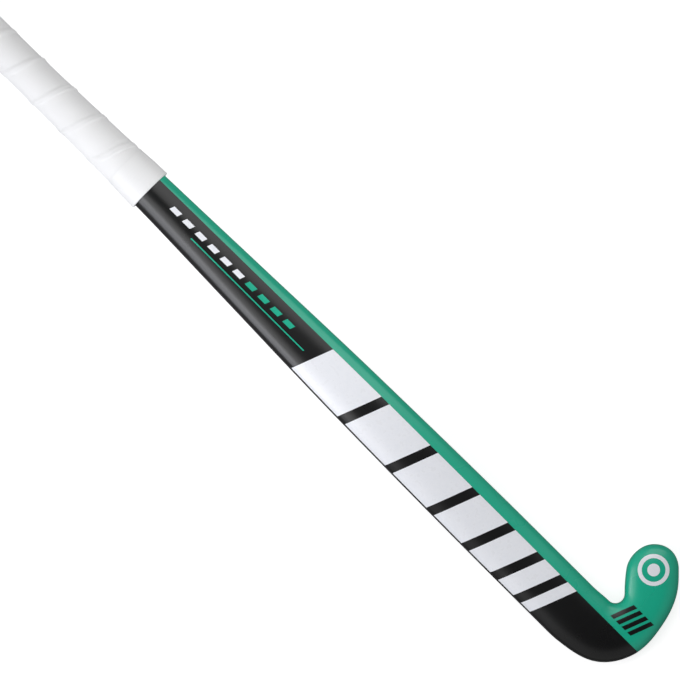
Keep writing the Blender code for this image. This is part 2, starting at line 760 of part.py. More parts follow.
def circle_places(middle, radius):
    turns = [2 * pi * i / RING_STEPS for i in range(RING_STEPS)]
    return [middle + Vector((cos(t), sin(t))) * radius for t in turns]


def toe_target(skin, parent):
    """A plain ring round a dot, on the flat of the toe."""
    middle = toe_rib(TOE_RUN).middle
    grids = []
    for height in (CLEARANCE, CLEARANCE + FILM):
        inside = draped(skin, circle_places(middle, RING_RADIUS - RING_WIDTH), height)
        outside = draped(skin, circle_places(middle, RING_RADIUS), height)
        grids.append(list(zip(inside, outside)))
    work = bmesh.new()
    film_between(work, *grids, closed=True)
    finish_piece("toe_ring", work, "silver_film", parent)
    dot = [draped(skin, circle_places(middle, DOT_RADIUS), height)
           for height in (CLEARANCE, CLEARANCE + FILM)]
    lofted_piece("toe_dot", dot, "silver_film", parent)


def neck_bars(skin, parent):
    """Black slanted bars across the neck of the hook."""
    for i in range(NECK_BAR_COUNT):
        start = -NECK_BARS_AT + NECK_BAR_PITCH * i
        grids = []
        for height in (CLEARANCE, CLEARANCE + FILM):
            grid = []
            for x in (start, start + NECK_BAR_WIDTH):
                rises = [NECK_BAR_LENGTH * j / NECK_BAR_STEPS for j in range(NECK_BAR_STEPS + 1)]
                places = [Vector((x + BAR_SLANT * rise, NECK_BARS_Y + rise)) for rise in rises]
                grid.append(draped(skin, places, height))
            grids.append(grid)
        work = bmesh.new()
        film_between(work, *grids)
        finish_piece(f"neck_bar_{i + 1}", work, "black_film", parent)


def make_part():
    for old in list(bpy.data.objects):
        bpy.data.objects.remove(old)
    stick = bpy.data.objects.new("stick", None)
    bpy.context.scene.collection.objects.link(stick)
    shell = laminate_shell(stick)
    centre_rib(stick)
    shaft_core("foam_core_toe_side", 1, stick)
    shaft_core("foam_core_heel_side", -1, stick)
    aramid_patch(stick)
    head_core(stick)
    butt_plug(stick)
    butt_cap(stick)
    cushion_grip(stick)
    finishing_tape(stick)
    black_side(stick)
    slanted_bars(stick)
    pinstripe(stick)
    dash_row(stick)
    shell_work = bmesh.new()
    shell_work.from_mesh(shell.data)
    skin = BVHTree.FromBMesh(shell_work)
    shell_work.free()
    toe_target(skin, stick)
    neck_bars(skin, stick)
    corners = [v.co for v in shell.data.vertices]
    toe_top = max(c.y for c in corners)
    heel_low = min(c.y for c in corners)
    stick.location = (LENGTH / 2, -(toe_top + heel_low) / 2, 0.0)


make_part()
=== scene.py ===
# %% [markdown]
# Indoor hockey stick, seen on its rounded back.
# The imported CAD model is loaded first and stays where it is. Every piece made below is
# drawn in the same metres, so it lands on the CAD solid that it stands for.

# %% Load the frame
from math import cos, pi, radians, sin

import bmesh
import bpy
import numpy as np
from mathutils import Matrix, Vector


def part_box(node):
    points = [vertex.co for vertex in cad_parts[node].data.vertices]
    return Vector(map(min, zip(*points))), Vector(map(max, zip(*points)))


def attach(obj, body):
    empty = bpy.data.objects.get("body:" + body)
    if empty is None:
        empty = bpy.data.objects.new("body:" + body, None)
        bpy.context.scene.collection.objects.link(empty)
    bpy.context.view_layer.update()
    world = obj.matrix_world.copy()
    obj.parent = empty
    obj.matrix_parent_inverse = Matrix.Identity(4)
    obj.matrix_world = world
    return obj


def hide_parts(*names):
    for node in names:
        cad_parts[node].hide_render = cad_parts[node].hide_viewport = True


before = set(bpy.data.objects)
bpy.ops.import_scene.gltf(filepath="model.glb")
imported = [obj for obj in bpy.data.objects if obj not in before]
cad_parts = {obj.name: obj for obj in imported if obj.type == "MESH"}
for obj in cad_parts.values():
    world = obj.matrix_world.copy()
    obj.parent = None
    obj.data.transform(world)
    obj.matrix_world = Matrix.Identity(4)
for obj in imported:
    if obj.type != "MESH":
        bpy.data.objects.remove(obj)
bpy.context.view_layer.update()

# %% [markdown]
# Colours are picked as the eye sees them, in sRGB hex, but Blender mixes light in linear
# numbers. One function turns the first into the second. A second small function adds a
# node with its settings and its links, so that each material and each Geometry Nodes
# tree below reads as a short recipe and not as wiring.

# %% Colour and node helpers
def linear(hex_colour, alpha=1.0):
    """An sRGB colour such as "#17B391" as linear red, green, blue and alpha."""
    parts = [int(hex_colour[i:i + 2], 16) / 255 for i in (1, 3, 5)]
    return tuple(p / 12.92 if p <= 0.04045 else ((p + 0.055) / 1.055) ** 2.4 for p in parts) + (alpha,)


def add(tree, kind, inputs=None, **settings):
    """Adds a node. An input holds a value, a socket, or a node that stands for its first output."""
    made = tree.nodes.new(kind)
    for name, value in settings.items():
        setattr(made, name, value)
    for key, value in (inputs or {}).items():
        if isinstance(value, bpy.types.Node):
            value = value.outputs[0]
        if isinstance(value, bpy.types.NodeSocket):
            tree.links.new(value, made.inputs[key])
        else:
            made.inputs[key].default_value = value
    return made


def new_material(name):
    """A named material, its empty tree, and the place on the object in metres."""
    made = bpy.data.materials.new(name)
    made.use_nodes = True
    made.node_tree.nodes.clear()
    return made, made.node_tree, add(made.node_tree, "ShaderNodeTexCoord").outputs["Object"]


def finish_surface(tree, shader):
    add(tree, "ShaderNodeOutputMaterial", {"Surface": shader})


print("the shell's green as linear numbers:", [round(part, 3) for part in linear("#17B391")[:3]])

# %% [markdown]
# The stick's form follows a few sizes: the width and thickness of the shell at five
# stations of the shaft, the tight crook inside the hook, how deep the head is round it,
# and the reach of the toe's round end. A smooth curve joins the values between stations.
# These are the CAD model's own sizes, in metres, so the fine surface and the solid agree.

# %% Sizes of the stick
LENGTH = 0.927
SHOULDER_AT, THROAT_AT, WAIST_AT, GRIP_END_AT, HANDLE_AT = 0.115, 0.300, 0.430, 0.5285, 0.700
SHOULDER_WIDTH, THROAT_WIDTH, WAIST_WIDTH = 0.0505, 0.0462, 0.0387
GRIP_END_WIDTH, HANDLE_WIDTH = 0.0330, 0.0278
TOE_THICKNESS, SHOULDER_THICKNESS, THROAT_THICKNESS = 0.0190, 0.0205, 0.0215
GRIP_END_THICKNESS, HANDLE_THICKNESS = 0.0235, 0.0250
BOW, BOW_AT, FLAT_LENGTH, BUTT_SLOPE = 0.022, 0.320, 0.110, 0.045
HANDLE_SET, HANDLE_SET_FROM_AT = 0.0020, GRIP_END_AT - 0.03
HEAD_BACK_SHAPE, HANDLE_BACK_SHAPE = 3.0, 2.0
HEAD_EDGE_HEIGHT, HANDLE_EDGE_HEIGHT = 0.38, 0.50
FACE_EDGE, HANDLE_FACE_SHARE = 0.0052, 0.98
HOOK_START_AT, CROOK_RADIUS, CROOK_RISE, HEEL_SLOPE = 0.062, 0.0072, 0.0010, 0.14
HEEL_DEPTH, HEEL_CURVE_DEPTH, FRONT_DEPTH = 0.0501, 0.0481, 0.0429
MIDDLE_DEPTH, NECK_DEPTH, TOE_ROOT_DEPTH, TOE_ROOT_SLOPE = 0.0378, 0.0376, 0.0413, 0.24
TOE_RUN, TOE_INNER_STEP, TOE_FLARE = 0.0195, 0.0014, 0.15
TOE_REACH_CROOK_SIDE, TOE_REACH_BACK, TOE_REACH_TIP, TOE_REACH_TOP = 0.0207, 0.0190, 0.0198, 0.0210
GRIP_BUILD = 0.0024

shell_low, shell_high = (Vector(corner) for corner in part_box("laminate_shell"))
# the stick's own zero: the front of the head, on the axis of the shaft
ZERO = Vector((shell_high.x, shell_low.y + SHOULDER_WIDTH / 2, 0.0))
print("front of the head at x =", round(ZERO.x, 4), "and shaft axis at y =", round(ZERO.y, 4))

# %% [markdown]
# Width, thickness and bow all change softly along the stick, as a moulded shape does. One
# cubic curve through their values gives all three, with no corner at a station.

# %% A smooth curve through a few values
def smooth(knots, x, start_slope=0.0, end_slope=0.0):
    """A cubic curve through (x, y) knots in rising x, level outside them."""
    last = len(knots) - 1
    if x <= knots[0][0]:
        return knots[0][1]
    if x >= knots[last][0]:
        return knots[last][1]

    def slope(i):
        if i == 0:
            return start_slope
        if i == last:
            return end_slope
        return (knots[i + 1][1] - knots[i - 1][1]) / (knots[i + 1][0] - knots[i - 1][0])

    i = max(k for k in range(last) if knots[k][0] <= x)
    (x0, y0), (x1, y1) = knots[i], knots[i + 1]
    span = x1 - x0
    t = (x - x0) / span
    ease = t * t * (3 - 2 * t)
    return (y0 + (y1 - y0) * ease + t * (1 - t) ** 2 * span * slope(i)
            + t * t * (t - 1) * span * slope(i + 1))


def shaft_width(at):
    return smooth([(SHOULDER_AT, SHOULDER_WIDTH), (THROAT_AT, THROAT_WIDTH), (WAIST_AT, WAIST_WIDTH),
                   (GRIP_END_AT, GRIP_END_WIDTH), (HANDLE_AT, HANDLE_WIDTH)], at)


def shaft_thickness(at):
    return smooth([(0.0, TOE_THICKNESS), (SHOULDER_AT, SHOULDER_THICKNESS), (THROAT_AT, THROAT_THICKNESS),
                   (GRIP_END_AT, GRIP_END_THICKNESS), (HANDLE_AT, HANDLE_THICKNESS)], at)


def face_height(at):
    """Height of the playing face over the floor: flat at the head, bowed along the shaft."""
    if at > BOW_AT:
        return smooth([(BOW_AT, BOW), (LENGTH, GRIP_BUILD)], at, 0.0, -BUTT_SLOPE)
    return smooth([(FLAT_LENGTH, 0.0), (BOW_AT, BOW)], at)


print("shaft width at the grip in mm:", round(shaft_width(GRIP_END_AT) * 1000, 1))

# %% [markdown]
# A rib is one cross-section: a line across the stick, with a rounded back over it and a
# flat face under it. The back is a superellipse: power 3 gives the flat crown and round
# edges of the head, and power 2 the oval of the handle. Its points are spread evenly
# along the outline, because a mesh whose faces are all of a size shades evenly.

# %% Ribs
OUTLINE_POINTS = 240


class Rib:
    def __init__(self, toe_side, heel_side, at):
        self.middle = (toe_side + heel_side) / 2
        self.half = (toe_side - heel_side).length / 2
        self.across = (toe_side - heel_side).normalized()
        share = smooth([(THROAT_AT, 0.0), (GRIP_END_AT, 1.0)], at)
        thickness = shaft_thickness(at)
        edge = HEAD_EDGE_HEIGHT + (HANDLE_EDGE_HEIGHT - HEAD_EDGE_HEIGHT) * share
        self.face_edge = FACE_EDGE + (HANDLE_FACE_SHARE * self.half - FACE_EDGE) * share
        self.shape = HEAD_BACK_SHAPE + (HANDLE_BACK_SHAPE - HEAD_BACK_SHAPE) * share
        self.edge_z = face_height(at) + edge * thickness
        self.rise = (1 - edge) * thickness
        self.drop = edge * thickness

    def half_outline(self, count, offset=0.0, reach=None):
        """Distances out and heights, from the middle of the back to the middle of the face."""
        reach = self.half if reach is None else reach
        lean = np.linspace(pi / 2, 0.0, OUTLINE_POINTS)
        back_out = np.cos(lean) ** (2 / self.shape) * (reach + offset)
        back_z = np.sin(lean) ** (2 / self.shape) * (self.rise + offset)
        edge = self.face_edge + offset
        face_out = reach - self.face_edge + edge * np.cos(lean[::-1][1:])
        face_z = -np.sin(lean[::-1][1:]) * (self.drop + offset)
        out = np.concatenate([back_out, face_out, [0.0]])
        out[0] = 0.0
        z = np.concatenate([back_z, face_z, face_z[-1:]])
        run = np.concatenate([[0.0], np.cumsum(np.hypot(np.diff(out), np.diff(z)))])
        even = np.linspace(0.0, run[-1], count)
        return np.interp(even, run, out), np.interp(even, run, z) + self.edge_z

    def place(self, out, z, way=None):
        """Points in the room at these distances along the rib and these heights."""
        way = self.across if way is None else way
        x = ZERO.x + self.middle.x + way.x * out
        y = ZERO.y + self.middle.y + way.y * out
        return np.stack([x, y, z + ZERO.z], axis=-1)


def shaft_rib(at):
    """A rib straight across the shaft, this far back from the front of the head."""
    half = shaft_width(at) / 2
    y = -HANDLE_SET * smooth([(HANDLE_SET_FROM_AT, 0.0), (HANDLE_AT, 1.0)], at)
    toe_side = heel_side = half
    if at < HOOK_START_AT:
        toe_side = smooth([(CROOK_AT, half + CROOK_RISE), (HOOK_START_AT, half)], at)
        heel_side = smooth([(CROOK_AT, HEEL_SIDE_AT_CROOK), (HOOK_START_AT, half)], at, HEEL_SLOPE)
    return Rib(Vector((-at, y + toe_side)), Vector((-at, y - heel_side)), at)


def hook_depth(angle):
    """Depth of the head out from the crook, from -pi/2 at the heel to pi/4 at the toe's root."""
    knots = [(-pi / 2, HEEL_DEPTH), (-pi / 3, HEEL_CURVE_DEPTH), (-pi / 6, FRONT_DEPTH),
             (0.0, MIDDLE_DEPTH), (pi / 9, NECK_DEPTH), (pi / 4, TOE_ROOT_DEPTH)]
    return smooth(knots, angle, -HEEL_SLOPE * (CROOK_RADIUS + HEEL_DEPTH),
                  TOE_ROOT_SLOPE * (CROOK_RADIUS + TOE_ROOT_DEPTH))


CROOK_AT = max((CROOK_RADIUS + hook_depth(a)) * cos(a) for a in np.radians(np.arange(-90, 46, 9)))
CROOK_CENTRE = Vector((-CROOK_AT, SHOULDER_WIDTH / 2 + CROOK_RISE + CROOK_RADIUS))
HEEL_SIDE_AT_CROOK = CROOK_RADIUS + HEEL_DEPTH - CROOK_CENTRE.y
TOE_WAY = Vector((cos(0.75 * pi), sin(0.75 * pi)))
TOE_ACROSS = Vector((cos(pi / 4), sin(pi / 4)))


def crook_rib(angle):
    """A rib that points away from the middle of the crook."""
    way = Vector((cos(angle), sin(angle)))
    heel_side = CROOK_CENTRE + way * (CROOK_RADIUS + hook_depth(angle))
    return Rib(CROOK_CENTRE + way * CROOK_RADIUS, heel_side, -heel_side.x)


def toe_rib(run):
    """A rib across the toe, this far along it from the end of the crook."""
    inner_end = CROOK_RADIUS + TOE_INNER_STEP
    outer_end = inner_end + 2 * TOE_REACH_CROOK_SIDE
    inner = smooth([(0.0, CROOK_RADIUS), (TOE_RUN, inner_end)], run, 0.0, TOE_FLARE)
    outer = smooth([(0.0, CROOK_RADIUS + TOE_ROOT_DEPTH), (TOE_RUN, outer_end)], run, TOE_ROOT_SLOPE)
    start = CROOK_CENTRE + TOE_WAY * run
    return Rib(start + TOE_ACROSS * inner, start + TOE_ACROSS * outer, 0.0)


def toe_reach(angle):
    """Reach of the toe's round end, from its outer side at 0 to its crook side at pi."""
    knots = [(0.0, TOE_REACH_CROOK_SIDE), (pi / 4, TOE_REACH_TOP), (pi / 2, TOE_REACH_TIP),
             (0.75 * pi, TOE_REACH_BACK), (pi, TOE_REACH_CROOK_SIDE)]
    return smooth(knots, angle, 0.0, TOE_FLARE * TOE_REACH_CROOK_SIDE)


def evenly(start, end, step):
    """Places from start to end, about a step apart."""
    return np.linspace(start, end, round(abs(end - start) / step) + 1)


# further back than this the grip hides the shell, so its ribs stand further apart
HIDDEN_AT, HIDDEN_STEP = GRIP_END_AT + 0.040, 0.010
FINE_STEP, FINE_TURN = 0.0020, radians(2.25)


def stick_ribs(step, turn):
    """Ribs from the open end of the handle to the middle of the toe."""
    handle = [shaft_rib(at) for at in evenly(ZERO.x - shell_low.x, HIDDEN_AT, HIDDEN_STEP)[:-1]]
    shaft = [shaft_rib(at) for at in evenly(HIDDEN_AT, CROOK_AT, step)[:-1]]
    crook = [crook_rib(angle) for angle in evenly(-pi / 2, pi / 4, turn)]
    toe = [toe_rib(run) for run in evenly(0.0, TOE_RUN, step)[1:]]
    return handle + shaft + crook + toe


fine_ribs = stick_ribs(FINE_STEP, FINE_TURN)
print(len(fine_ribs), "ribs from the open end of the handle to the toe")

# %% [markdown]
# A skin is stretched over the ribs with plain mesh data: one ring of points for each
# rib, and a band of faces between two rings. At the toe the last ring splits in half,
# and half ribs fan round the toe's middle like the spokes of a shell, so that the round
# end has the same cross-section all the way.

# %% Mesh helpers
RING_HALF, SHARP_EDGE = 49, radians(30)


def new_piece(name, points, faces, material=None):
    """A smooth-shaded mesh object at the origin."""
    mesh = bpy.data.meshes.new(name)
    mesh.from_pydata([tuple(p) for p in points], [], faces)
    mesh.update()
    mesh.shade_smooth()
    mesh.set_sharp_from_angle(angle=SHARP_EDGE)
    if material:
        mesh.materials.append(material)
    piece = bpy.data.objects.new(name, mesh)
    bpy.context.scene.collection.objects.link(piece)
    return piece


def outward(piece):
    """Turns every face of a closed mesh outward."""
    work = bmesh.new()
    work.from_mesh(piece.data)
    bmesh.ops.recalc_face_normals(work, faces=work.faces)
    if work.calc_volume(signed=True) < 0:
        bmesh.ops.reverse_faces(work, faces=work.faces)
    work.to_mesh(piece.data)
    work.free()
    piece.data.set_sharp_from_angle(angle=SHARP_EDGE)
    return piece


def band(first, second, closed=True):
    """Faces between two equal lists of point numbers."""
    count = len(first)
    steps = range(count if closed else count - 1)
    return [(first[i], first[(i + 1) % count], second[(i + 1) % count], second[i]) for i in steps]


def full_ring(rib, offset=0.0):
    """Points right round a rib: back, toe side, face, heel side."""
    out, z = rib.half_outline(RING_HALF, offset)
    toe_half = rib.place(out, z)
    heel_half = rib.place(-out[1:-1], z[1:-1])[::-1]
    return np.concatenate([toe_half, heel_half])


# %% [markdown]
# The shell is hollow like the real tube, so it has an outer and an inner wall. Both come
# from one function, which stretches a wall over its ribs and closes it at the toe.

# %% One wall of the shell, outer or inner
def shell_wall(points, wall_ribs, fan, offset=0.0):
    """Adds a wall to the points, and gives its faces and the numbers of its first ring."""
    numbers = []
    for rib in wall_ribs:
        ring = full_ring(rib, offset)
        numbers.append(list(range(len(points), len(points) + len(ring))))
        points.extend(ring)
    faces = [quad for pair in zip(numbers, numbers[1:]) for quad in band(*pair)]
    last = numbers[-1]
    spokes = [[last[0]] + last[:RING_HALF - 2:-1]]
    for i in range(1, fan):
        angle = pi * i / fan
        way = TOE_ACROSS * cos(angle) + TOE_WAY * sin(angle)
        out, z = wall_ribs[-1].half_outline(RING_HALF, offset, toe_reach(angle))
        start = len(points)
        points.extend(wall_ribs[-1].place(out[1:-1], z[1:-1], way))
        spokes.append([last[0]] + list(range(start, start + RING_HALF - 2)) + [last[RING_HALF - 1]])
    spokes.append(last[:RING_HALF])
    for first, second in zip(spokes, spokes[1:]):
        faces.append((first[0], first[1], second[1]))
        faces += band(first[1:-1], second[1:-1], closed=False)
        faces.append((first[-1], first[-2], second[-2]))
    return faces, numbers[0]


# %% [markdown]
# The colours of the stick are printed on the laminate and sealed under one clear satin
# lacquer, sprayed on. So green, black and silver differ in their ink, but share the
# lacquer's soft gloss and its orange peel, the shallow waves that sprayed lacquer keeps
# when it dries. One function makes the lacquer over any ink; the waves are 2 mm apart.
# The ink itself hardly shines, because lacquer bends light nearly as much as ink does.

# %% Satin lacquer over an ink
LACQUER_WAVE, LACQUER_DEPTH = 0.0020, 0.000006
LACQUER_ROUGHNESS, SHEEN_DRIFT, INK_SHINE = 0.28, 0.03, 0.08


def lacquered(name, ink, shaded_ink, cloud):
    """An ink under clear lacquer, drifting in clouds of a real size between its own tone and a second one;
    for green and silver that second tone is the ink in shade, a painted shade.
    """
    made, tree, place = new_material(name)
    drift = add(tree, "ShaderNodeTexNoise", {"Vector": place, "Scale": 1 / cloud, "Detail": 3.0})
    # for green and silver the second tone is a shaded copy of the ink, so its clouds are painted shade over
    # the ink's own uneven tone; for black it is a hair lighter
    colour = add(tree, "ShaderNodeMix", {"Factor": drift.outputs["Fac"], "A": linear(ink),
                                         "B": linear(shaded_ink)}, data_type="RGBA")
    peel = add(tree, "ShaderNodeTexNoise", {"Vector": place, "Scale": 1 / LACQUER_WAVE, "Detail": 1.0})
    waves = add(tree, "ShaderNodeBump", {"Height": peel.outputs["Fac"], "Distance": LACQUER_DEPTH,
                                         "Strength": 1.0})
    sheen = add(tree, "ShaderNodeMapRange", {"Value": drift.outputs["Fac"],
                                             "To Min": LACQUER_ROUGHNESS - SHEEN_DRIFT,
                                             "To Max": LACQUER_ROUGHNESS + SHEEN_DRIFT})
    shader = add(tree, "ShaderNodeBsdfPrincipled", {
        "Base Color": colour.outputs["Result"], "Roughness": 0.5, "IOR": 1.5,
        "Specular IOR Level": INK_SHINE, "Coat Weight": 1.0, "Coat Roughness": sheen,
        "Coat IOR": 1.5, "Coat Normal": waves})
    finish_surface(tree, shader)
    return made


# the second colour of the green and the silver is the ink as it looks in shade: painted shade, laid in random
# clouds
green = lacquered("green_ink_under_satin_lacquer", "#17B391", "#13AA89", 0.060)
black_ink = lacquered("black_ink_under_satin_lacquer", "#060607", "#09090A", 0.045)
silver = lacquered("pearl_silver_ink_under_lacquer", "#F4F5F9", "#EAECF2", 0.004)

# %% [markdown]
# The shell is a laminate of carbon and glass, 2.5 mm thick, moulded in one piece with the
# head. Its outside is drawn a tenth of a millimetre small, which leaves room for the prints.

# %% The lacquered shell
WALL, PRINT_ROOM = 0.0026, 0.0001
INSIDE_STEP, INSIDE_TURN = 0.008, radians(9)


def stick_shell():
    points = []
    outer, outer_ring = shell_wall(points, fine_ribs, fan=60, offset=-PRINT_ROOM)
    inner, inner_ring = shell_wall(points, stick_ribs(INSIDE_STEP, INSIDE_TURN), fan=20, offset=-WALL)
    faces = outer + inner + band(outer_ring, inner_ring)
    return outward(new_piece("stick_shell", points, faces, green))


shell = stick_shell()
print("shell:", len(shell.data.polygons), "faces")

# %% [markdown]
# Half of the stick is black: a printed film under the lacquer that wraps round the heel
# edge from the back to the playing face, up to one straight line. It could be painted on
# the shell with a mask in the material, but a piece of its own gives a crisp edge and a
# finish of its own. Each of its rows follows the same cross-section as the shell, a few
# hundredths of a millimetre outside it, from the line on the back round to the line on
# the face. Near the nose the rows shrink to a point, where the line runs off the edge.

# %% Black side
BLACK_LINE, BLACK_LINE_AT_GRIP = 0.0135, 0.0110
PRINT_LIFT, PRINT_THICKNESS = 0.00003, 0.00004
BLACK_COLUMNS, UNDER_TAPE = 110, 0.004
# round the crook the rows are this far apart at most, and closer where the line nears the edge
FILM_TURN, FILM_LEAST_SHARE, FILM_SHARE_RATE, NOSE_LINE = radians(0.7), 0.08, 2, -0.998


def black_line(at):
    """How far from the shaft's axis the black stops, towards the toe side."""
    rise = (BLACK_LINE - BLACK_LINE_AT_GRIP) / (GRIP_END_AT - THROAT_AT)
    return BLACK_LINE - rise * max(0.0, at - THROAT_AT)


def line_on(rib):
    """Where the line crosses a rib: 1 on its edge towards the toe, -1 on its heel edge."""
    return (black_line(-rib.middle.x) - rib.middle.y) / rib.across.y / rib.half


def film_ribs():
    """Ribs from under the tape to the nose, closer together where the line runs off the edge."""
    ribs = [shaft_rib(at) for at in evenly(GRIP_END_AT + UNDER_TAPE, CROOK_AT, FINE_STEP)[:-1]]
    angle = -pi / 2
    while line_on(crook_rib(angle)) > NOSE_LINE:
        ribs.append(crook_rib(angle))
        share = FILM_SHARE_RATE * (1 + line_on(ribs[-1]))
        angle += FILM_TURN * min(1.0, max(FILM_LEAST_SHARE, share))
    return ribs


def wrapped_row(rib, line, count, offset):
    """Points from the line on the back, over the heel edge, to the line on the face."""
    out, z = rib.half_outline(4 * count, offset)
    run = np.concatenate([[0.0], np.cumsum(np.hypot(np.diff(out), np.diff(z)))])
    edge = int(np.argmax(out))
    on_back = np.interp(abs(line), out[:edge + 1], run[:edge + 1])
    on_face = np.interp(abs(line), out[edge:][::-1], run[edge:][::-1])
    first, last = (-on_back, 2 * run[-1] - on_face) if line > 0 else (on_back, on_face)
    place = np.linspace(first, last, count)
    folded = np.where(place > run[-1], 2 * run[-1] - place, np.abs(place))
    side = np.where((place < 0) | (place > run[-1]), 1.0, -1.0)
    return rib.place(side * np.interp(folded, run, out), np.interp(folded, run, z))


def closed_film(name, lower, upper, material=None):
    """A thin closed piece from two equal grids of points."""
    rows, columns = len(lower), len(lower[0])
    points = [p for grid in (lower, upper) for row in grid for p in row]
    number = np.arange(2 * rows * columns).reshape(2, rows, columns).tolist()
    faces = []
    for grid in number:
        for first, second in zip(grid, grid[1:]):
            faces += band(first, second, closed=False)
    low, high = number
    for side in (0, -1):
        faces += band(low[side], high[side], closed=False)
        faces += band([row[side] for row in low], [row[side] for row in high], closed=False)
    return outward(new_piece(name, points, faces, material))


def black_side():
    lower, upper = [], []
    for rib in film_ribs():
        for grid, lift in ((lower, PRINT_LIFT), (upper, PRINT_LIFT + PRINT_THICKNESS)):
            grid.append(wrapped_row(rib, line_on(rib) * rib.half, BLACK_COLUMNS, lift - PRINT_ROOM))
    return closed_film("black_side", lower, upper, black_ink)


black = black_side()
print("black side:", len(black.data.polygons), "faces")

# %% [markdown]
# Everything else on the shell is ink as well: bars, dashes, a fine line, a ring. An ink
# is laid down by one small Geometry Nodes tree. It takes a flat mesh above the stick,
# drops each point straight down onto the shell with a Raycast, lifts it a hair off the
# surface and gives it the thickness of ink. If the shell changes, the prints follow it.

# %% Node tree: ink on the shell
# points closer than this are one point
WELD = 1e-6


def add_input(tree, name, kind, value=None):
    """A named input of a tree, with its starting value."""
    made = tree.interface.new_socket(name, in_out="INPUT", socket_type="NodeSocket" + kind)
    if value is not None:
        made.default_value = value


def new_tree(name, inputs):
    """A Geometry Nodes tree with these named inputs, and the node that hands them out."""
    tree = bpy.data.node_groups.new(name, "GeometryNodeTree")
    tree.interface.new_socket("Geometry", in_out="OUTPUT", socket_type="NodeSocketGeometry")
    for entry in inputs:
        add_input(tree, *entry)
    return tree, add(tree, "NodeGroupInput").outputs


def end_tree(tree, geometry, material):
    """Makes a tree's result real, and gives it its material."""
    whole = add(tree, "GeometryNodeRealizeInstances", {"Geometry": geometry})
    dressed = add(tree, "GeometryNodeSetMaterial", {"Geometry": whole, "Material": material})
    add(tree, "NodeGroupOutput", {0: dressed})
    return tree


def ink_tree():
    tree, given = new_tree("ink_on_shell", [
        ("Geometry", "Geometry"), ("Lift", "Float", PRINT_LIFT), ("Ink", "Float", PRINT_THICKNESS),
        ("Shell", "Object"), ("Material", "Material")])
    shell_mesh = add(tree, "GeometryNodeObjectInfo", {"Object": given["Shell"]})
    drop = add(tree, "GeometryNodeRaycast", {
        "Target Geometry": shell_mesh.outputs["Geometry"],
        "Source Position": add(tree, "GeometryNodeInputPosition"),
        "Ray Direction": (0, 0, -1), "Ray Length": 1.0})
    lift = add(tree, "ShaderNodeVectorMath", {0: drop.outputs["Hit Normal"], "Scale": given["Lift"]},
               operation="SCALE")
    landed = add(tree, "ShaderNodeVectorMath", {0: drop.outputs["Hit Position"], 1: lift})
    film = add(tree, "GeometryNodeSetPosition", {"Geometry": given["Geometry"], "Position": landed})
    top = add(tree, "GeometryNodeExtrudeMesh", {
        "Mesh": film, "Offset Scale": given["Ink"], "Individual": False})
    under = add(tree, "GeometryNodeFlipFaces", {"Mesh": film})
    both = add(tree, "GeometryNodeJoinGeometry")
    for side in (top, under):
        tree.links.new(side.outputs[0], both.inputs[0])
    closed = add(tree, "GeometryNodeMergeByDistance", {"Geometry": both, "Distance": WELD})
    return end_tree(tree, closed, given["Material"])


ink_on_shell = ink_tree()
print("ink_on_shell:", len(ink_on_shell.nodes), "nodes")

# %% [markdown]
# The bars, the dashes, the fine line and the short bars on the neck are all slanted
# blocks, several times over, so a second tree makes them from one point a block. Each
# point knows its block's length and how far it reaches across the stick at both ends.
# The tree puts a fine unit grid on every point, stretches and slants it, and hands it to
# the ink tree. A grid is needed, and not one flat face, because the back is curved.

# %% Node tree: slanted blocks
BLOCK_VALUES = ("block_start", "block_length", "low_start", "high_start", "low_end", "high_end")
# how far a block leans along the stick for each metre across it, and a height over the stick
SLANT, ABOVE = 0.38, 0.2
MATH = "ShaderNodeMath"


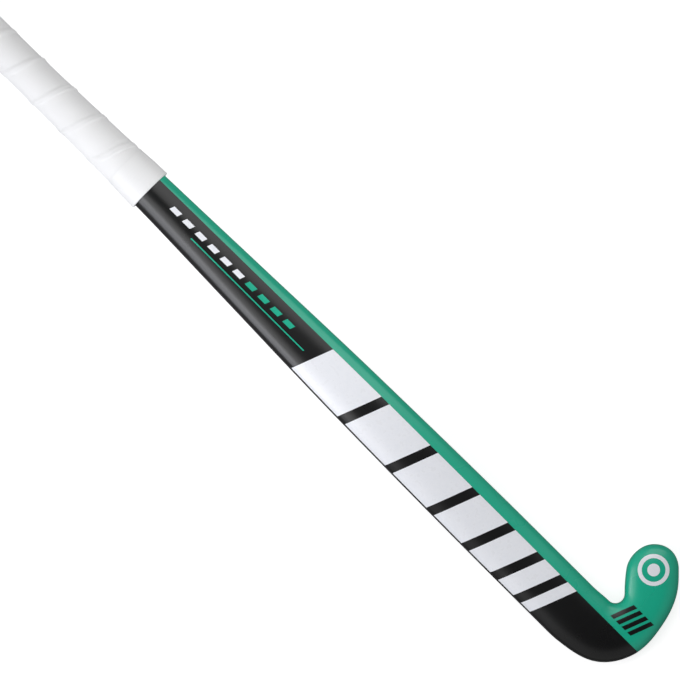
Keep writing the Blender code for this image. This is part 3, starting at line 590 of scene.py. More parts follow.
def blocks_tree():
    tree, given = new_tree("slanted_blocks", [
        ("Geometry", "Geometry"), ("Columns", "Int", 60), ("Rows", "Int", 60), ("Slant", "Float", SLANT),
        ("Lift", "Float", PRINT_LIFT), ("Ink", "Float", PRINT_THICKNESS),
        ("Shell", "Object"), ("Material", "Material")])
    block = add(tree, "GeometryNodeMeshGrid", {
        "Size X": 1.0, "Size Y": 1.0, "Vertices X": given["Columns"], "Vertices Y": given["Rows"]})
    sides = add(tree, "ShaderNodeSeparateXYZ", {0: add(tree, "GeometryNodeInputPosition")})
    for name, side in (("along", "X"), ("across", "Y")):
        share = add(tree, MATH, {0: sides.outputs[side], 1: 0.5}, operation="ADD")
        block = add(tree, "GeometryNodeStoreNamedAttribute",
                    {"Geometry": block, "Name": name, "Value": share}, data_type="FLOAT")
    copies = add(tree, "GeometryNodeInstanceOnPoints", {"Points": given["Geometry"], "Instance": block})
    joined = add(tree, "GeometryNodeRealizeInstances", {"Geometry": copies})

    stored = {}
    for name in BLOCK_VALUES + ("along", "across"):
        read = add(tree, "GeometryNodeInputNamedAttribute", {"Name": name}, data_type="FLOAT")
        stored[name] = read.outputs["Attribute"]
    # where the block's low and high side lie at this share of its length
    edges = {}
    for side in ("low", "high"):
        start, end = stored[side + "_start"], stored[side + "_end"]
        span = add(tree, MATH, {0: end, 1: start}, operation="SUBTRACT")
        edges[side] = add(tree, MATH, {0: span, 1: stored["along"], 2: start}, operation="MULTIPLY_ADD")
    depth = add(tree, MATH, {0: edges["high"], 1: edges["low"]}, operation="SUBTRACT")
    rise = add(tree, MATH, {0: depth, 1: stored["across"]}, operation="MULTIPLY")
    run = add(tree, MATH, {0: stored["along"], 1: stored["block_length"], 2: stored["block_start"]},
              operation="MULTIPLY_ADD")
    x = add(tree, MATH, {0: rise, 1: given["Slant"], 2: run}, operation="MULTIPLY_ADD")
    y = add(tree, MATH, {0: edges["low"], 1: rise}, operation="ADD")
    above = add(tree, "ShaderNodeCombineXYZ", {"X": x, "Y": y, "Z": ABOVE})
    flat = add(tree, "GeometryNodeSetPosition", {"Geometry": joined, "Position": above})
    ink = add(tree, "GeometryNodeGroup", {
        "Geometry": flat, "Lift": given["Lift"], "Ink": given["Ink"], "Shell": given["Shell"],
        "Material": given["Material"]}, node_tree=ink_on_shell)
    return end_tree(tree, ink, given["Material"])


slanted_blocks = blocks_tree()
print("slanted_blocks:", len(slanted_blocks.nodes), "nodes")

# %% [markdown]
# A tree's result is kept as plain mesh data, so that the stick no longer depends on its
# modifiers. Each input is set by its identifier, which stays when an input is renamed.

# %% Running a tree and keeping its mesh
def baked(piece, tree, inputs):
    """Gives the piece the tree with these inputs, and keeps what it makes as a plain mesh."""
    modifier = piece.modifiers.new("made_by_nodes", "NODES")
    modifier.node_group = tree
    sockets = {item.name: item.identifier for item in tree.interface.items_tree if item.in_out == "INPUT"}
    for name, value in inputs.items():
        modifier[sockets[name]] = value
    graph = bpy.context.evaluated_depsgraph_get()
    mesh = bpy.data.meshes.new_from_object(piece.evaluated_get(graph), depsgraph=graph)
    piece.modifiers.remove(modifier)
    piece.data = mesh
    mesh.name = piece.name
    mesh.shade_smooth()
    mesh.set_sharp_from_angle(angle=SHARP_EDGE)
    print(piece.name + ":", len(mesh.polygons), "faces")
    return piece


def print_blocks(name, blocks, material, columns, rows, lift=PRINT_LIFT):
    """Prints blocks, each with its start, length, and low and high side at both ends."""
    piece = new_piece(name, [(0, 0, 0)] * len(blocks), [])
    for i, value in enumerate(BLOCK_VALUES):
        made = piece.data.attributes.new(value, "FLOAT", "POINT")
        made.data.foreach_set("value", [block[i] for block in blocks])
    return baked(piece, slanted_blocks, {"Columns": columns, "Rows": rows, "Slant": SLANT,
                                         "Lift": lift, "Shell": shell, "Material": material})


# %% [markdown]
# Seven silver bars fill the lower shaft, each shorter than the one before it. They lie on
# the black, so they are lifted over it. A thin border of black is left along the heel
# edge, and they stop where the green begins.

# %% Silver bars
BAR_COUNT, BAR_FIRST_LENGTH, BAR_LAST_LENGTH, BAR_GAP = 7, 0.052, 0.010, 0.0085
BAR_ZONE_AT, BAR_BORDER = 0.352, 0.0015
OVER_BLACK = 3 * PRINT_THICKNESS


def bar_blocks():
    blocks, at = [], BAR_ZONE_AT
    for i in range(BAR_COUNT):
        length = BAR_FIRST_LENGTH + (BAR_LAST_LENGTH - BAR_FIRST_LENGTH) * i / (BAR_COUNT - 1)
        sides = []
        for end in (at, at - length):
            sides += [ZERO.y + BAR_BORDER - shaft_width(end) / 2, ZERO.y + black_line(end)]
        blocks.append((ZERO.x - at, length, *sides))
        at -= length + BAR_GAP
    return blocks


bars = print_blocks("silver_bars", bar_blocks(), silver, columns=40, rows=70, lift=OVER_BLACK)

# %% [markdown]
# Below the grip, a row of ten small dashes, six silver and four green, and one fine green
# line run along the middle of the shaft. Four short black bars cross the neck of the hook.

# %% Dashes, fine line and neck bars
DASH_COUNT, SILVER_DASH_COUNT, DASH_PITCH = 10, 6, 0.0138
DASH_FROM_AT, DASH_LENGTH, DASH_WIDTH, DASH_Y = 0.507, 0.0085, 0.0042, 0.0025
LINE_FROM_AT, LINE_LENGTH, LINE_WIDTH, LINE_Y = 0.479, 0.124, 0.0010, -0.0040
NECK_COUNT, NECK_AT, NECK_PITCH = 4, 0.0375, 0.0062
NECK_WIDTH, NECK_LENGTH, NECK_Y = 0.0038, 0.0190, 0.0185


def even_block(at, length, middle, width):
    low, high = ZERO.y + middle - width / 2, ZERO.y + middle + width / 2
    return (ZERO.x - at, length, low, high, low, high)


dash_blocks = [even_block(DASH_FROM_AT - DASH_PITCH * i, DASH_LENGTH, DASH_Y, DASH_WIDTH)
               for i in range(DASH_COUNT)]
silver_dashes = print_blocks("silver_dashes", dash_blocks[:SILVER_DASH_COUNT], silver,
                             columns=12, rows=10, lift=OVER_BLACK)
green_dashes = print_blocks("green_dashes", dash_blocks[SILVER_DASH_COUNT:], green,
                            columns=12, rows=10, lift=OVER_BLACK)
fine_line = print_blocks("fine_line", [even_block(LINE_FROM_AT, LINE_LENGTH, LINE_Y, LINE_WIDTH)],
                         green, columns=120, rows=4, lift=OVER_BLACK)
neck_blocks = [even_block(NECK_AT - NECK_PITCH * i, NECK_WIDTH, NECK_Y + NECK_LENGTH / 2, NECK_LENGTH)
               for i in range(NECK_COUNT)]
neck_bars = print_blocks("neck_bars", neck_blocks, black_ink, columns=8, rows=40)

# %% [markdown]
# On the flat of the toe a silver ring surrounds a dot. Both are flat discs of fine rings
# that the ink tree lays on the shell.

# %% Ring and dot
RING_RADIUS, RING_WIDTH, DOT_RADIUS = 0.0125, 0.0032, 0.0050
AROUND = 96


def flat_disc(name, inner, outer, circles):
    """A flat ring over the middle of the toe, or a disc where its inner radius is 0."""
    middle = toe_rib(TOE_RUN).middle
    points, numbers = [], []
    for radius in np.linspace(outer, inner, circles):
        numbers.append(list(range(len(points), len(points) + AROUND)))
        for i in range(AROUND):
            turn = 2 * pi * i / AROUND
            points.append((ZERO.x + middle.x + radius * cos(turn),
                           ZERO.y + middle.y + radius * sin(turn), ABOVE))
    faces = [quad for pair in zip(numbers, numbers[1:]) for quad in band(*pair)]
    return new_piece(name, points, faces)


ink = {"Lift": PRINT_LIFT, "Ink": PRINT_THICKNESS, "Shell": shell, "Material": silver}
ring = baked(flat_disc("silver_ring", RING_RADIUS - RING_WIDTH, RING_RADIUS, 8), ink_on_shell, ink)
dot = baked(flat_disc("silver_dot", 0.0, DOT_RADIUS, 10), ink_on_shell, ink)

# %% [markdown]
# The grip is one long strip of polyurethane foam with a thin skin, wound from the butt.
# It stretches as it is pulled on, and each turn laps over the last, which leaves a soft
# hump along a helix and small creases beside it. A smooth tube with the hump in its
# material would look flat at the outline, so the hump is real. The tube's rows of faces
# wind with the strip, close together at its edges and wide apart between them. Geometry
# Nodes then raise the hump: at any point, the place along the handle and the turn give
# the distance to the strip's edge, and that distance gives the height.

# %% The tube under the winding
GRIP_PITCH, GRIP_OVERLAP, GRIP_BASE, GRIP_INSIDE = 0.0324, 0.0050, 0.0016, 0.0003
GRIP_START_AT = ZERO.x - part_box("cushion_grip")[0].x
GRIP_STOP_AT = ZERO.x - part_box("cushion_grip")[1].x
TAPE_START_AT = ZERO.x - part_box("finishing_tape")[0].x
GRIP_AROUND = 144
# rows across one turn of the strip, in shares of a turn, close together at both edges
STRIP_ROWS = np.concatenate([np.linspace(0.0, 0.04, 6), np.linspace(0.06, 0.14, 5),
                             np.linspace(0.15, 0.26, 10), np.linspace(0.30, 0.92, 12),
                             np.linspace(0.94, 0.985, 4)])
INSIDE_RINGS_STEP = 0.03


def oval(rib, turn, offset, share=1.0):
    """A point right round the handle, from the toe side at 0 over the back at a quarter turn."""
    height = rib.rise if sin(turn) > 0 else rib.drop
    side = (rib.half + offset) * share * cos(turn)
    return rib.place(side, rib.edge_z + (height + offset) * share * sin(turn))


def wound_tube():
    """A closed tube whose outer rows run along the strip, trimmed straight at both ends."""
    length = GRIP_START_AT - GRIP_STOP_AT
    per_turn, turns = len(STRIP_ROWS), int(length / GRIP_PITCH) + 2
    rows = [GRIP_PITCH * (turn + share) for turn in range(-1, turns) for share in STRIP_ROWS]
    points, from_butt, turn_of, outside, numbers = [], [], [], [], []

    def ring(places, height, on_top):
        numbers.append(list(range(len(points), len(points) + GRIP_AROUND)))
        for i, place in enumerate(places):
            points.append(oval(shaft_rib(GRIP_START_AT - place), 2 * pi * i / GRIP_AROUND, height))
            from_butt.append(place)
            turn_of.append(i / GRIP_AROUND)
            outside.append(on_top)

    for row in rows:
        places = [row - GRIP_PITCH * i / GRIP_AROUND for i in range(GRIP_AROUND)]
        ring([min(max(place, 0.0), length) for place in places], GRIP_BASE, 1.0)
    faces = []
    for row in range(per_turn, len(rows) - 1):
        low, high = numbers[row], numbers[row + 1]
        # one turn on, a row carries on as the row of the turn before
        low, high = low + [numbers[row - per_turn][0]], high + [numbers[row + 1 - per_turn][0]]
        faces += band(low, high, closed=False)
    faces = [face for face in faces if len({(from_butt[i], turn_of[i]) for i in face}) > 2]
    first = len(numbers)
    for place in evenly(0.0, length, INSIDE_RINGS_STEP):
        ring([place] * GRIP_AROUND, GRIP_INSIDE, 0.0)
    inner = numbers[first:]
    for low, high in zip([numbers[0]] + inner, inner + [numbers[first - 1]]):
        faces += band(low, high)
    made = new_piece("cushion_grip_winding", points, faces)
    for name, values in (("from_butt", from_butt), ("turn", turn_of), ("outside", outside)):
        made.data.attributes.new(name, "FLOAT", "POINT").data.foreach_set("value", values)
    return made


grip = wound_tube()
print("grip tube:", len(grip.data.polygons), "faces")

# %% [markdown]
# Where a turn laps over the last one, the strip rises at its edge, stays up over the lap
# and runs out. The edge sways and the lap wanders, because a hand pulls the strip on, and
# creases gather where it is stretched. Noise along the strip gives all three, and is the
# same in each run. The eases below say over which stretch each effect comes and goes.

# %% Node tree: winding
# how often the sway, the pull and the folds change in a turn, and how far apart folds lie
SWAY_RATE, PULL_RATE, FOLD_RATE, FOLD_SPACING = 3.0, 5.0, 8.0, 0.0022
# two rows of the noise, so that sway and pull don't move together
SWAY_ROW, PULL_ROW = 7.0, 0.0
# shares of the folds: on the flatter sides, far from a lap, and just before the next edge
FLAT_FOLDS, FAR_FOLDS, NEXT_FOLDS = 0.2, 0.06, 0.8
FOLDS_REACH, PRESS_RUN = 2.2, 0.0050


def winding_tree():
    tree, given = new_tree("winding", [
        ("Geometry", "Geometry"), ("Pitch", "Float", GRIP_PITCH), ("Overlap", "Float", GRIP_OVERLAP),
        ("Step", "Float", 0.00044), ("Edge", "Float", 0.0027), ("Run Out", "Float", 0.0026),
        ("Sway", "Float", 0.0022), ("Wander", "Float", 0.0011), ("Crease", "Float", 0.0020),
        ("Pressed From", "Float", GRIP_START_AT - TAPE_START_AT), ("Material", "Material")])
    stored = {}
    for name in ("from_butt", "turn", "outside"):
        read = add(tree, "GeometryNodeInputNamedAttribute", {"Name": name}, data_type="FLOAT")
        stored[name] = read.outputs["Attribute"]

    # distance along the helix, and how many turns the strip has made there
    travel = add(tree, MATH, {0: stored["turn"], 1: given["Pitch"], 2: stored["from_butt"]},
                 operation="MULTIPLY_ADD")
    pitches = add(tree, MATH, {0: travel, 1: given["Pitch"]}, operation="DIVIDE")
    whole_turns = add(tree, MATH, {0: pitches}, operation="FLOOR")
    turns = add(tree, MATH, {0: whole_turns, 1: stored["turn"]}, operation="SUBTRACT")

    def drift(rate, row):
        """A value about zero that changes softly along the strip."""
        along = add(tree, MATH, {0: turns, 1: rate}, operation="MULTIPLY")
        spot = add(tree, "ShaderNodeCombineXYZ", {"X": row, "Y": along})
        noise = add(tree, "ShaderNodeTexNoise", {"Vector": spot, "Scale": 1.0, "Detail": 2.0})
        return add(tree, MATH, {0: noise.outputs["Fac"], 1: 0.5}, operation="SUBTRACT")

    # the edge isn't quite straight, because the hand that pulls the strip isn't quite steady
    sway = add(tree, MATH, {0: drift(SWAY_RATE, SWAY_ROW), 1: given["Sway"]}, operation="MULTIPLY")
    swayed = add(tree, MATH, {0: travel, 1: sway}, operation="ADD")
    past_edge = add(tree, MATH, {0: swayed, 1: given["Pitch"]}, operation="FLOORED_MODULO")
    before_edge = add(tree, MATH, {0: given["Pitch"], 1: past_edge}, operation="SUBTRACT")
    # the strip wanders a little as it is pulled on, and the hump over the lap with it
    pull = drift(PULL_RATE, PULL_ROW)
    lap = add(tree, MATH, {0: pull, 1: given["Wander"], 2: given["Overlap"]}, operation="MULTIPLY_ADD")
    hump_end = add(tree, MATH, {0: lap, 1: given["Run Out"]}, operation="ADD")
    folds_end = add(tree, MATH, {0: lap, 1: FOLDS_REACH}, operation="MULTIPLY")
    before_tape = add(tree, MATH, {0: given["Pressed From"], 1: stored["from_butt"]},
                      operation="SUBTRACT")

    eased = {}
    for name, place, low, high, start, end in (
            ("rise", past_edge, 0.0, given["Edge"], 0.0, given["Step"]),
            ("run_out", past_edge, lap, hump_end, 1.0, 0.0),
            ("folds_after", past_edge, lap, folds_end, 1.0, FAR_FOLDS),
            ("folds_before", before_edge, given["Edge"], given["Overlap"], NEXT_FOLDS, FAR_FOLDS),
            ("own_edge", past_edge, 0.0, given["Edge"], 0.0, 1.0),
            ("next_edge", before_edge, 0.0, given["Edge"], 0.0, 1.0),
            ("tape", before_tape, 0.0, PRESS_RUN, 0.0, 1.0)):
        eased[name] = add(tree, "ShaderNodeMapRange", {
            "Value": place, "From Min": low, "From Max": high, "To Min": start, "To Max": end},
            interpolation_type="SMOOTHSTEP")

    hump = add(tree, MATH, {0: eased["rise"], 1: eased["run_out"]}, operation="MULTIPLY")
    harder = add(tree, MATH, {0: pull, 1: 1.0}, operation="ADD")
    hump = add(tree, MATH, {0: hump, 1: harder}, operation="MULTIPLY")
    # creases run along the lap, where the strip is pulled down over the turn below, and
    # gather at the sides of the handle, where its oval curves most
    folds = drift(FOLD_RATE, add(tree, MATH, {0: past_edge, 1: FOLD_SPACING}, operation="DIVIDE"))
    angle = add(tree, MATH, {0: stored["turn"], 1: 2 * pi}, operation="MULTIPLY")
    lean = add(tree, MATH, {0: angle}, operation="COSINE")
    at_sides = add(tree, MATH, {0: lean, 1: 2.0}, operation="POWER")
    at_sides = add(tree, MATH, {0: at_sides, 1: 1 - FLAT_FOLDS, 2: FLAT_FOLDS}, operation="MULTIPLY_ADD")
    folds = add(tree, MATH, {0: folds, 1: at_sides}, operation="MULTIPLY")
    near = add(tree, MATH, {0: eased["folds_after"], 1: eased["folds_before"]}, operation="MAXIMUM")
    for edge in ("own_edge", "next_edge"):
        near = add(tree, MATH, {0: near, 1: eased[edge]}, operation="MULTIPLY")
    creases = add(tree, MATH, {0: folds, 1: near}, operation="MULTIPLY")
    height = add(tree, MATH, {0: creases, 1: given["Crease"], 2: hump}, operation="MULTIPLY_ADD")
    # the finishing tape presses its end of the grip flat, and the inside stays smooth
    for share in (eased["tape"], stored["outside"]):
        height = add(tree, MATH, {0: height, 1: share}, operation="MULTIPLY")

    offset = add(tree, "ShaderNodeVectorMath", {0: add(tree, "GeometryNodeInputNormal"), "Scale": height},
                 operation="SCALE")
    welded = add(tree, "GeometryNodeMergeByDistance", {"Geometry": given["Geometry"], "Distance": WELD})
    raised = add(tree, "GeometryNodeSetPosition", {"Geometry": welded, "Offset": offset})
    return end_tree(tree, raised, given["Material"])


winding = winding_tree()
print("winding:", len(winding.nodes), "nodes")

# %% [markdown]
# Grip, tape, rubber and the pieces inside are all dull: a tone that drifts between two
# close ones, a fine relief and a broad soft shine. One function joins those, and each
# material brings its own patterns. The grip's skin is cast against grained paper, which
# leaves a leathery grain under 1 mm across; its tone changes over 18 mm, from handling.

# %% Cushion grip finish
GRAIN, HANDLED = 0.0009, 0.018


def dull_surface(tree, tone, tones, relief, depth, strength, roughness, ior=1.5):
    """A surface between two close tones, with a relief this deep and a broad soft shine."""
    colour = add(tree, "ShaderNodeMix", {"Factor": tone, "A": linear(tones[0]), "B": linear(tones[1])},
                 data_type="RGBA")
    bumps = add(tree, "ShaderNodeBump", {"Height": relief, "Distance": depth, "Strength": strength})
    finish_surface(tree, add(tree, "ShaderNodeBsdfPrincipled", {
        "Base Color": colour.outputs["Result"], "Roughness": roughness, "IOR": ior, "Normal": bumps}))


def cushion():
    """Polyurethane skin over foam: dead white and matt, with a fine leathery grain."""
    made, tree, place = new_material("polyurethane_cushion_grip")
    tone = add(tree, "ShaderNodeTexNoise", {"Vector": place, "Scale": 1 / HANDLED, "Detail": 4.0})
    grain = add(tree, "ShaderNodeTexVoronoi", {"Vector": place, "Scale": 1 / GRAIN}, feature="SMOOTH_F1")
    dull_surface(tree, tone.outputs["Fac"], ("#F4F4F4", "#EFEFF0"), grain.outputs["Distance"],
                 depth=0.00004, strength=0.6, roughness=0.62)
    return made


grip = baked(grip, winding, {"Material": cushion()})

# %% [markdown]
# A white elastic tape holds the end of the grip and steps down onto the shaft, and a
# rubber pad closes the butt. Both are turned on the handle's own oval by one helper. The
# tape is calendered vinyl, so it shines a little more than the grip, and stretching it
# round the handle leaves faint lines 1.2 mm apart.

# %% Finishing tape
STRETCH = 0.0012


def elastic_tape():
    """Calendered vinyl tape: whiter and glossier than the grip, with faint lines round it."""
    made, tree, place = new_material("white_vinyl_tape")
    sides = add(tree, "ShaderNodeSeparateXYZ", {0: place})
    lines = add(tree, "ShaderNodeTexNoise", {"W": sides.outputs["X"], "Scale": 1 / STRETCH, "Detail": 3.0},
                noise_dimensions="1D").outputs["Fac"]
    dull_surface(tree, lines, ("#F4F4F4", "#F0F0F1"), lines,
                 depth=0.00003, strength=0.5, roughness=0.42, ior=1.52)
    return made


def turned(profile, around):
    """Points and rings on the handle's oval, from (place, height, share of the way out)."""
    points, rings = [], []
    for at, height, share in profile:
        rings.append(list(range(len(points), len(points) + around)))
        points += [oval(shaft_rib(at), 2 * pi * i / around, height, share) for i in range(around)]
    return points, rings


AROUND_HANDLE = 120
TAPE_THICKNESS, TAPE_END_HEIGHT, TAPE_RAMP, TAPE_LIP, TAPE_GAP = 0.0003, 0.0024, 0.018, 0.0028, 0.00008
# the tape's first and last ribs, how far apart they are, and where its inside ends
TAPE_FIRST, TAPE_LAST, TAPE_STEP, TAPE_INSIDE_END = 0.0005, 0.0022, 0.001, 0.0035
TAPE_ROLL, ROLL_RUN, ROLL_DROP, ROLL_STEPS = 0.00025, 0.0006, 0.6, 8


def tape_height(at):
    """Height of the tape's outside over the handle, from the grip up to the flared end."""
    return smooth([(TAPE_START_AT - TAPE_RAMP, TAPE_END_HEIGHT),
                   (TAPE_START_AT, GRIP_BASE + TAPE_GAP + TAPE_THICKNESS)], at)


def finishing_tape():
    """A closed tube: out along the tape's outside, round its cut end, and back along its inside."""
    places = evenly(TAPE_START_AT - TAPE_FIRST, GRIP_END_AT + TAPE_LAST, TAPE_STEP)
    outer = [(TAPE_START_AT, GRIP_BASE + TAPE_GAP + TAPE_THICKNESS / 2)]
    outer += [(at, tape_height(at)) for at in places]
    # the cut end turns up a little, in a thin roll
    for i in range(ROLL_STEPS + 1):
        lean = pi * i / ROLL_STEPS
        outer.append((GRIP_END_AT + ROLL_RUN * (1 + cos(lean)),
                      TAPE_END_HEIGHT + TAPE_ROLL * (sin(lean) - ROLL_DROP * (1 - cos(lean)))))
    inner = [(TAPE_START_AT, GRIP_BASE + TAPE_GAP)]
    inner += [(at, tape_height(at) - TAPE_THICKNESS) for at in places[1::4]
              if at > GRIP_END_AT + TAPE_INSIDE_END]
    inner += [(GRIP_END_AT + TAPE_LIP, TAPE_END_HEIGHT - TAPE_THICKNESS),
              (GRIP_END_AT + TAPE_LIP, GRIP_INSIDE), (GRIP_END_AT, GRIP_INSIDE)]
    points, rings = turned([(at, height, 1.0) for at, height in outer + inner[::-1]], AROUND_HANDLE)
    faces = [quad for pair in zip(rings, rings[1:] + rings[:1]) for quad in band(*pair)]
    return outward(new_piece("white_finishing_tape", points, faces, elastic_tape()))


tape = finishing_tape()
print("tape:", len(tape.data.polygons), "faces")

# %% [markdown]
# The butt cap is compression moulded from natural rubber. The mould is blasted, which
# leaves fine pits and a deep matt grey black. Its rounded edge and shallow dish let the
# stick stand on its rim.

# %% Butt cap
PITS = 0.0008
CAP_THICKNESS, CAP_ROUNDING, CAP_BEAD, CAP_DISH = 0.0045, 0.0015, 0.0024, 0.0006
ROUNDING_STEPS, DISH_STEPS = 8, 6


def moulded_rubber():
    """Moulded natural rubber: deep grey black, matt, with the fine pits of a blasted mould, darker in the
    pits as painted shade.
    """
    made, tree, place = new_material("moulded_black_rubber")
    pits = add(tree, "ShaderNodeTexNoise", {"Vector": place, "Scale": 1 / PITS, "Detail": 5.0}).outputs["Fac"]
    # the pits give both tone and relief, so they are darker at their bottoms: painted shade
    dull_surface(tree, pits, ("#1B1B1C", "#262627"), pits,
                 depth=0.0001, strength=0.4, roughness=0.78, ior=1.52)
    return made


def butt_cap():
    """A pad with a rounded edge, and a raised rim round a shallow dish on its end."""
    profile = [(LENGTH - CAP_THICKNESS, GRIP_BASE, share) for share in (0.05, 0.5, 0.85, 1.0)]
    for i in range(ROUNDING_STEPS + 1):
        lean = pi / 2 * i / ROUNDING_STEPS
        profile.append((LENGTH - CAP_ROUNDING * (1 - sin(lean)),
                        GRIP_BASE - CAP_ROUNDING * (1 - cos(lean)), 1.0))
    rim = GRIP_BASE - CAP_ROUNDING
    for i in range(1, DISH_STEPS + 1):
        fall = (1 - cos(pi * i / DISH_STEPS)) / 2
        profile.append((LENGTH - CAP_DISH * fall, rim - CAP_BEAD * i / DISH_STEPS, 1.0))
    profile += [(LENGTH - CAP_DISH, rim - CAP_BEAD, share) for share in (0.9, 0.7, 0.45, 0.2, 0.05)]
    points, rings = turned(profile, AROUND_HANDLE)
    faces = [quad for pair in zip(rings, rings[1:]) for quad in band(*pair)]
    for ring in (rings[0], rings[-1]):
        points.append(sum(np.array(points[i]) for i in ring) / AROUND_HANDLE)
        faces += [(ring[i], ring[(i + 1) % AROUND_HANDLE], len(points) - 1) for i in range(AROUND_HANDLE)]
    return outward(new_piece("rubber_butt_cap", points, faces, moulded_rubber()))


cap = butt_cap()
print("cap:", len(cap.data.polygons), "faces")

# %% [markdown]
# The pieces inside the shell keep the CAD solids: their shapes are right, and only a cut
# or a broken stick would show them. They still get real finishes, whose darker tones lie in
# the hollows of their relief as painted shade. Foam is full of small cells, the rib is
# carbon cloth in resin, and the patch is woven aramid.

# %% Finishes inside the shell
CELL, MOULD_PITS, INSIDE_STRENGTH = 0.0011, 0.0012, 0.7
# a wave texture at a scale of 1 turns through 20 radians in a metre. These are the lengths
# of one radian, so the carbon's yarns lie 12.6 mm apart, and the aramid's 9.4 mm.
WAVE_RADIANS, CARBON_RADIAN, ARAMID_RADIAN = 20, 0.0020, 0.0015


def core_foam():
    """Rigid polyurethane foam: pale straw, full of cells about 1 mm across, darker in their hollows as
    painted shade.
    """
    made, tree, place = new_material("polyurethane_core_foam")
    cells = add(tree, "ShaderNodeTexVoronoi", {"Vector": place, "Scale": 1 / CELL}).outputs["Distance"]
    # the same cells give tone and relief, so the darker straw fills each cell's hollow: painted shade
    dull_surface(tree, cells, ("#C9B883", "#E3D5A8"), cells,
                 depth=0.0003, strength=INSIDE_STRENGTH, roughness=0.92)
    return made


def woven(name, tones, radian, roughness):
    """Cloth in resin: two sets of yarns that cross, each seen where its own wave is higher, and darker where
    both dip, as painted shade.
    """
    made, tree, place = new_material(name)
    waves = [add(tree, "ShaderNodeTexWave", {
        "Vector": place, "Scale": 1 / (WAVE_RADIANS * radian), "Distortion": 0.6, "Detail": 1.0},
        bands_direction=way).outputs["Fac"] for way in ("X", "Y")]
    cloth = add(tree, MATH, {0: waves[0], 1: waves[1]}, operation="MAXIMUM").outputs[0]
    # tone and relief come from the same weave, so the darker tone lies where the yarns dip: painted shade
    # between the yarns
    dull_surface(tree, cloth, tones, cloth, depth=0.0001, strength=INSIDE_STRENGTH, roughness=roughness)
    return made


def moulded_nylon():
    """Injection moulded nylon: black and smooth, with the faint pits of its mould, darker in the pits as
    painted shade.
    """
    made, tree, place = new_material("moulded_black_nylon")
    pits = add(tree, "ShaderNodeTexNoise", {
        "Vector": place, "Scale": 1 / MOULD_PITS, "Detail": 4.0}).outputs["Fac"]
    # the pits give both tone and relief, so they are darker at their bottoms: painted shade
    dull_surface(tree, pits, ("#1B1B1D", "#262628"), pits,
                 depth=0.00005, strength=INSIDE_STRENGTH, roughness=0.50)
    return made


foam, nylon = core_foam(), moulded_nylon()
# each cloth's darker tone is the painted shade in the dips of its weave
carbon = woven("carbon_twill_in_resin", ("#17171A", "#3A3A3D"), CARBON_RADIAN, roughness=0.38)
aramid = woven("woven_aramid_in_resin", ("#A98728", "#D9B64A"), ARAMID_RADIAN, roughness=0.55)

inside = {"centre_rib": carbon, "foam_core_toe_side": foam, "foam_core_heel_side": foam, "head_core": foam,
          "aramid_patch": aramid, "butt_plug": nylon}
for node, finish in inside.items():
    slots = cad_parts[node].data.materials
    slots.clear()
    slots.append(finish)
print("inner pieces:", ", ".join(inside))

# %% [markdown]
# Each piece hides the CAD nodes that it stands for. The stick is one rigid body, so
# everything rides on the root.

# %% Tie the pieces to the frame
def stands_for(piece, finish_slot, *nodes):
    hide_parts(*nodes)
    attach(piece, "root")


stands_for(shell, "green_lacquer", "laminate_shell")
stands_for(black, "black_film", "black_side_transfer")
stands_for(bars, "silver_film", *[f"silver_bar_{i + 1}" for i in range(BAR_COUNT)])
stands_for(silver_dashes, "silver_film", *[f"dash_{i + 1}" for i in range(SILVER_DASH_COUNT)])
stands_for(green_dashes, "green_film", *[f"dash_{i + 1}" for i in range(SILVER_DASH_COUNT, DASH_COUNT)])
stands_for(fine_line, "green_film", "pinstripe_transfer")
stands_for(neck_bars, "black_film", *[f"neck_bar_{i + 1}" for i in range(NECK_COUNT)])
stands_for(ring, "silver_film", "toe_ring")
stands_for(dot, "silver_film", "toe_dot")
stands_for(grip, "grip_cushion", "cushion_grip")
stands_for(tape, "tape", "finishing_tape")
stands_for(cap, "rubber", "butt_cap")

# %% [markdown]
# The photograph looks straight down on the rounded back from far away, with the shaft
# 45 degrees across the frame, the head at the lower right, and the handle cut off at the
# upper left. A long lens a few metres up gives that flat view. The frame's width follows
# from the scale: 680 pixels of 0.785 mm.

# %% Camera
PIXELS, PIXEL_SIZE = 680, 0.000785
SHAFT_TURN = radians(44.92)
# the middle of the frame: this far back from the head, off the axis, and over the floor
FRAME_BACK, FRAME_ASIDE, BACK_HEIGHT = 0.3407, 0.0219, 0.020
LOOK_AT = Vector((ZERO.x - FRAME_BACK, ZERO.y + FRAME_ASIDE, BACK_HEIGHT))
CAMERA_HEIGHT, SENSOR = 3.0, 0.036

eye = bpy.data.cameras.new("camera")
eye.sensor_width = SENSOR * 1000
eye.lens = eye.sensor_width * CAMERA_HEIGHT / (PIXELS * PIXEL_SIZE)
eye.clip_start, eye.clip_end = 0.1, 20.0
camera = bpy.data.objects.new("camera", eye)
bpy.context.scene.collection.objects.link(camera)
camera.location = LOOK_AT + Vector((0, 0, CAMERA_HEIGHT))
camera.rotation_euler = (0, 0, SHAFT_TURN)
bpy.context.scene.camera = camera
print("lens in mm:", round(eye.lens, 1))

# %% [markdown]
# The background is white, and the light is soft. A wide lamp low on the heel side draws
# the grey streak along the black and shades the grip towards the toe side, and two larger
# and dimmer ones hang high on either side. All end short of the head, so its black flat mirrors
# nothing bright and stays deep. The room is a dim tent, brighter on the key's side, with
# a dark opening overhead where the camera looks in, for the same reason.

# %% Lamps
LAMPS_BACK, LAMPS_AWAY, KEY_SHIFT = 0.44, 0.7, 0.05
LAMPS_MIDDLE = Vector((ZERO.x - LAMPS_BACK, ZERO.y, BACK_HEIGHT))


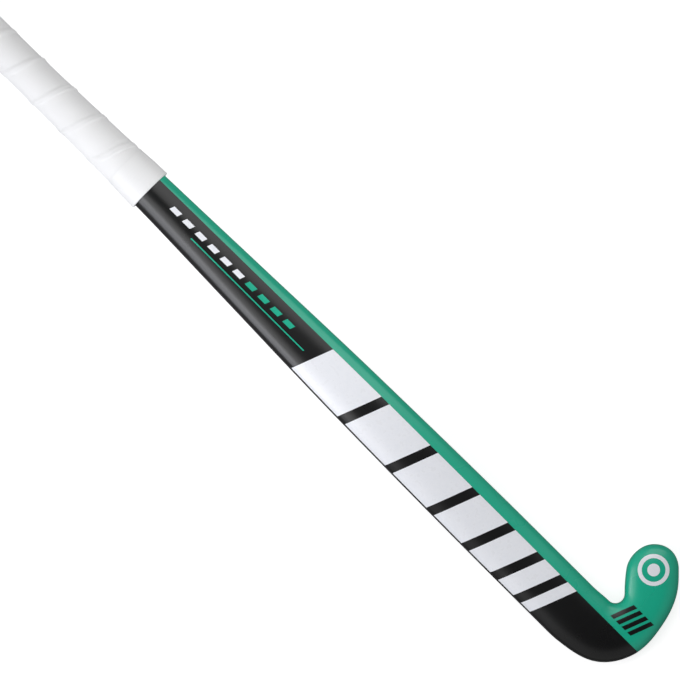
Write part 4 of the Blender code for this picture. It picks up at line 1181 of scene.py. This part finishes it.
def area_lamp(name, side, lean, length, width, watts):
    """A soft lamp beside the stick, this many degrees from overhead, that faces the shaft."""
    light = bpy.data.lights.new(name, "AREA")
    light.shape = "RECTANGLE"
    light.size, light.size_y, light.energy = length, width, watts
    lamp = bpy.data.objects.new(name, light)
    bpy.context.scene.collection.objects.link(lamp)
    way = Vector((0, side * sin(radians(lean)), cos(radians(lean))))
    lamp.location = LAMPS_MIDDLE + LAMPS_AWAY * way
    lamp.rotation_euler = (-side * radians(lean), 0, 0)
    return lamp


key = area_lamp("key_on_the_heel_side", side=-1, lean=60, length=0.42, width=0.48, watts=2.5)
key.data.color = linear("#F6F8FF")[:3]
key.location.x -= KEY_SHIFT
area_lamp("fill_on_the_heel_side", side=-1, lean=36, length=0.70, width=0.46, watts=1.55)
area_lamp("fill_on_the_toe_side", side=1, lean=40, length=0.70, width=0.86, watts=2.7)
print("lamps", LAMPS_AWAY, "m away, over a place", LAMPS_BACK, "m back from the head")

# %% Room
# the height of a direction, as a share, where the dark opening starts and is fully dark
OPENING_EDGE, OPENING, OPENING_GLOW = 0.850, 0.940, 0.01
TENT_HEEL_SIDE, TENT_TOE_SIDE = 0.40, 0.26

world = bpy.data.worlds.new("studio_tent")
bpy.context.scene.world = world
world.use_nodes = True
room = world.node_tree
room.nodes.clear()
sides = add(room, "ShaderNodeSeparateXYZ", {0: add(room, "ShaderNodeTexCoord").outputs["Generated"]})
walls = add(room, "ShaderNodeMapRange", {
    "Value": sides.outputs["Y"], "From Min": -1.0, "From Max": 1.0, "To Min": TENT_HEEL_SIDE,
    "To Max": TENT_TOE_SIDE})
closed = add(room, "ShaderNodeMapRange", {
    "Value": sides.outputs["Z"], "From Min": OPENING_EDGE, "From Max": OPENING, "To Min": 1.0,
    "To Max": OPENING_GLOW}, interpolation_type="SMOOTHSTEP")
tent = add(room, MATH, {0: walls, 1: closed}, operation="MULTIPLY")
seen = add(room, "ShaderNodeLightPath").outputs["Is Camera Ray"]
strength = add(room, "ShaderNodeMix", {"Factor": seen, "A": tent, "B": 1.0})
backdrop = add(room, "ShaderNodeBackground", {"Color": (1, 1, 1, 1), "Strength": strength})
add(room, "ShaderNodeOutputWorld", {"Surface": backdrop})
print("tent:", TENT_HEEL_SIDE, "on the heel side,", TENT_TOE_SIDE, "on the toe side")

# %% [markdown]
# The floor is matt white paper. To the camera it also glows a little, so that lit paper
# is as white as the photograph's background, while the stick's faint shadow stays on it.
# The lacquer mirrors a darker paper, because the photograph's stick has deep edges, as if
# it hung far in front of its backdrop.

# %% Floor
FLOOR_GLOW, FLOOR_HALF, FLOOR_BELOW, FIBRE_CLOUD = 0.75, 4, 0.0002, 0.025

floor = new_piece("floor", [(-FLOOR_HALF, -FLOOR_HALF, 0), (FLOOR_HALF, -FLOOR_HALF, 0),
                            (FLOOR_HALF, FLOOR_HALF, 0), (-FLOOR_HALF, FLOOR_HALF, 0)], [(0, 1, 2, 3)])
floor.location.z = -FLOOR_BELOW
paper, tree, place = new_material("white_paper_floor")
fibre = add(tree, "ShaderNodeTexNoise", {"Vector": place, "Scale": 1 / FIBRE_CLOUD, "Detail": 2.0})
tint = add(tree, "ShaderNodeMix", {"Factor": fibre.outputs["Fac"], "A": linear("#C6C6C6"),
                                   "B": linear("#C2C2C2")}, data_type="RGBA")
rays = add(tree, "ShaderNodeLightPath").outputs
mirrored = add(tree, "ShaderNodeMix", {"Factor": rays["Is Glossy Ray"], "A": tint.outputs["Result"],
                                       "B": linear("#7A7A7A")}, data_type="RGBA")
matt = add(tree, "ShaderNodeBsdfDiffuse", {"Color": mirrored.outputs["Result"]})
glow = add(tree, MATH, {0: rays["Is Camera Ray"], 1: FLOOR_GLOW}, operation="MULTIPLY")
shine = add(tree, "ShaderNodeEmission", {"Color": (1, 1, 1, 1), "Strength": glow})
finish_surface(tree, add(tree, "ShaderNodeAddShader", {0: matt, 1: shine}))
floor.data.materials.append(paper)
print("floor:", 2 * FLOOR_HALF, "m wide")

bpy.context.scene.view_settings.view_transform = "Standard"
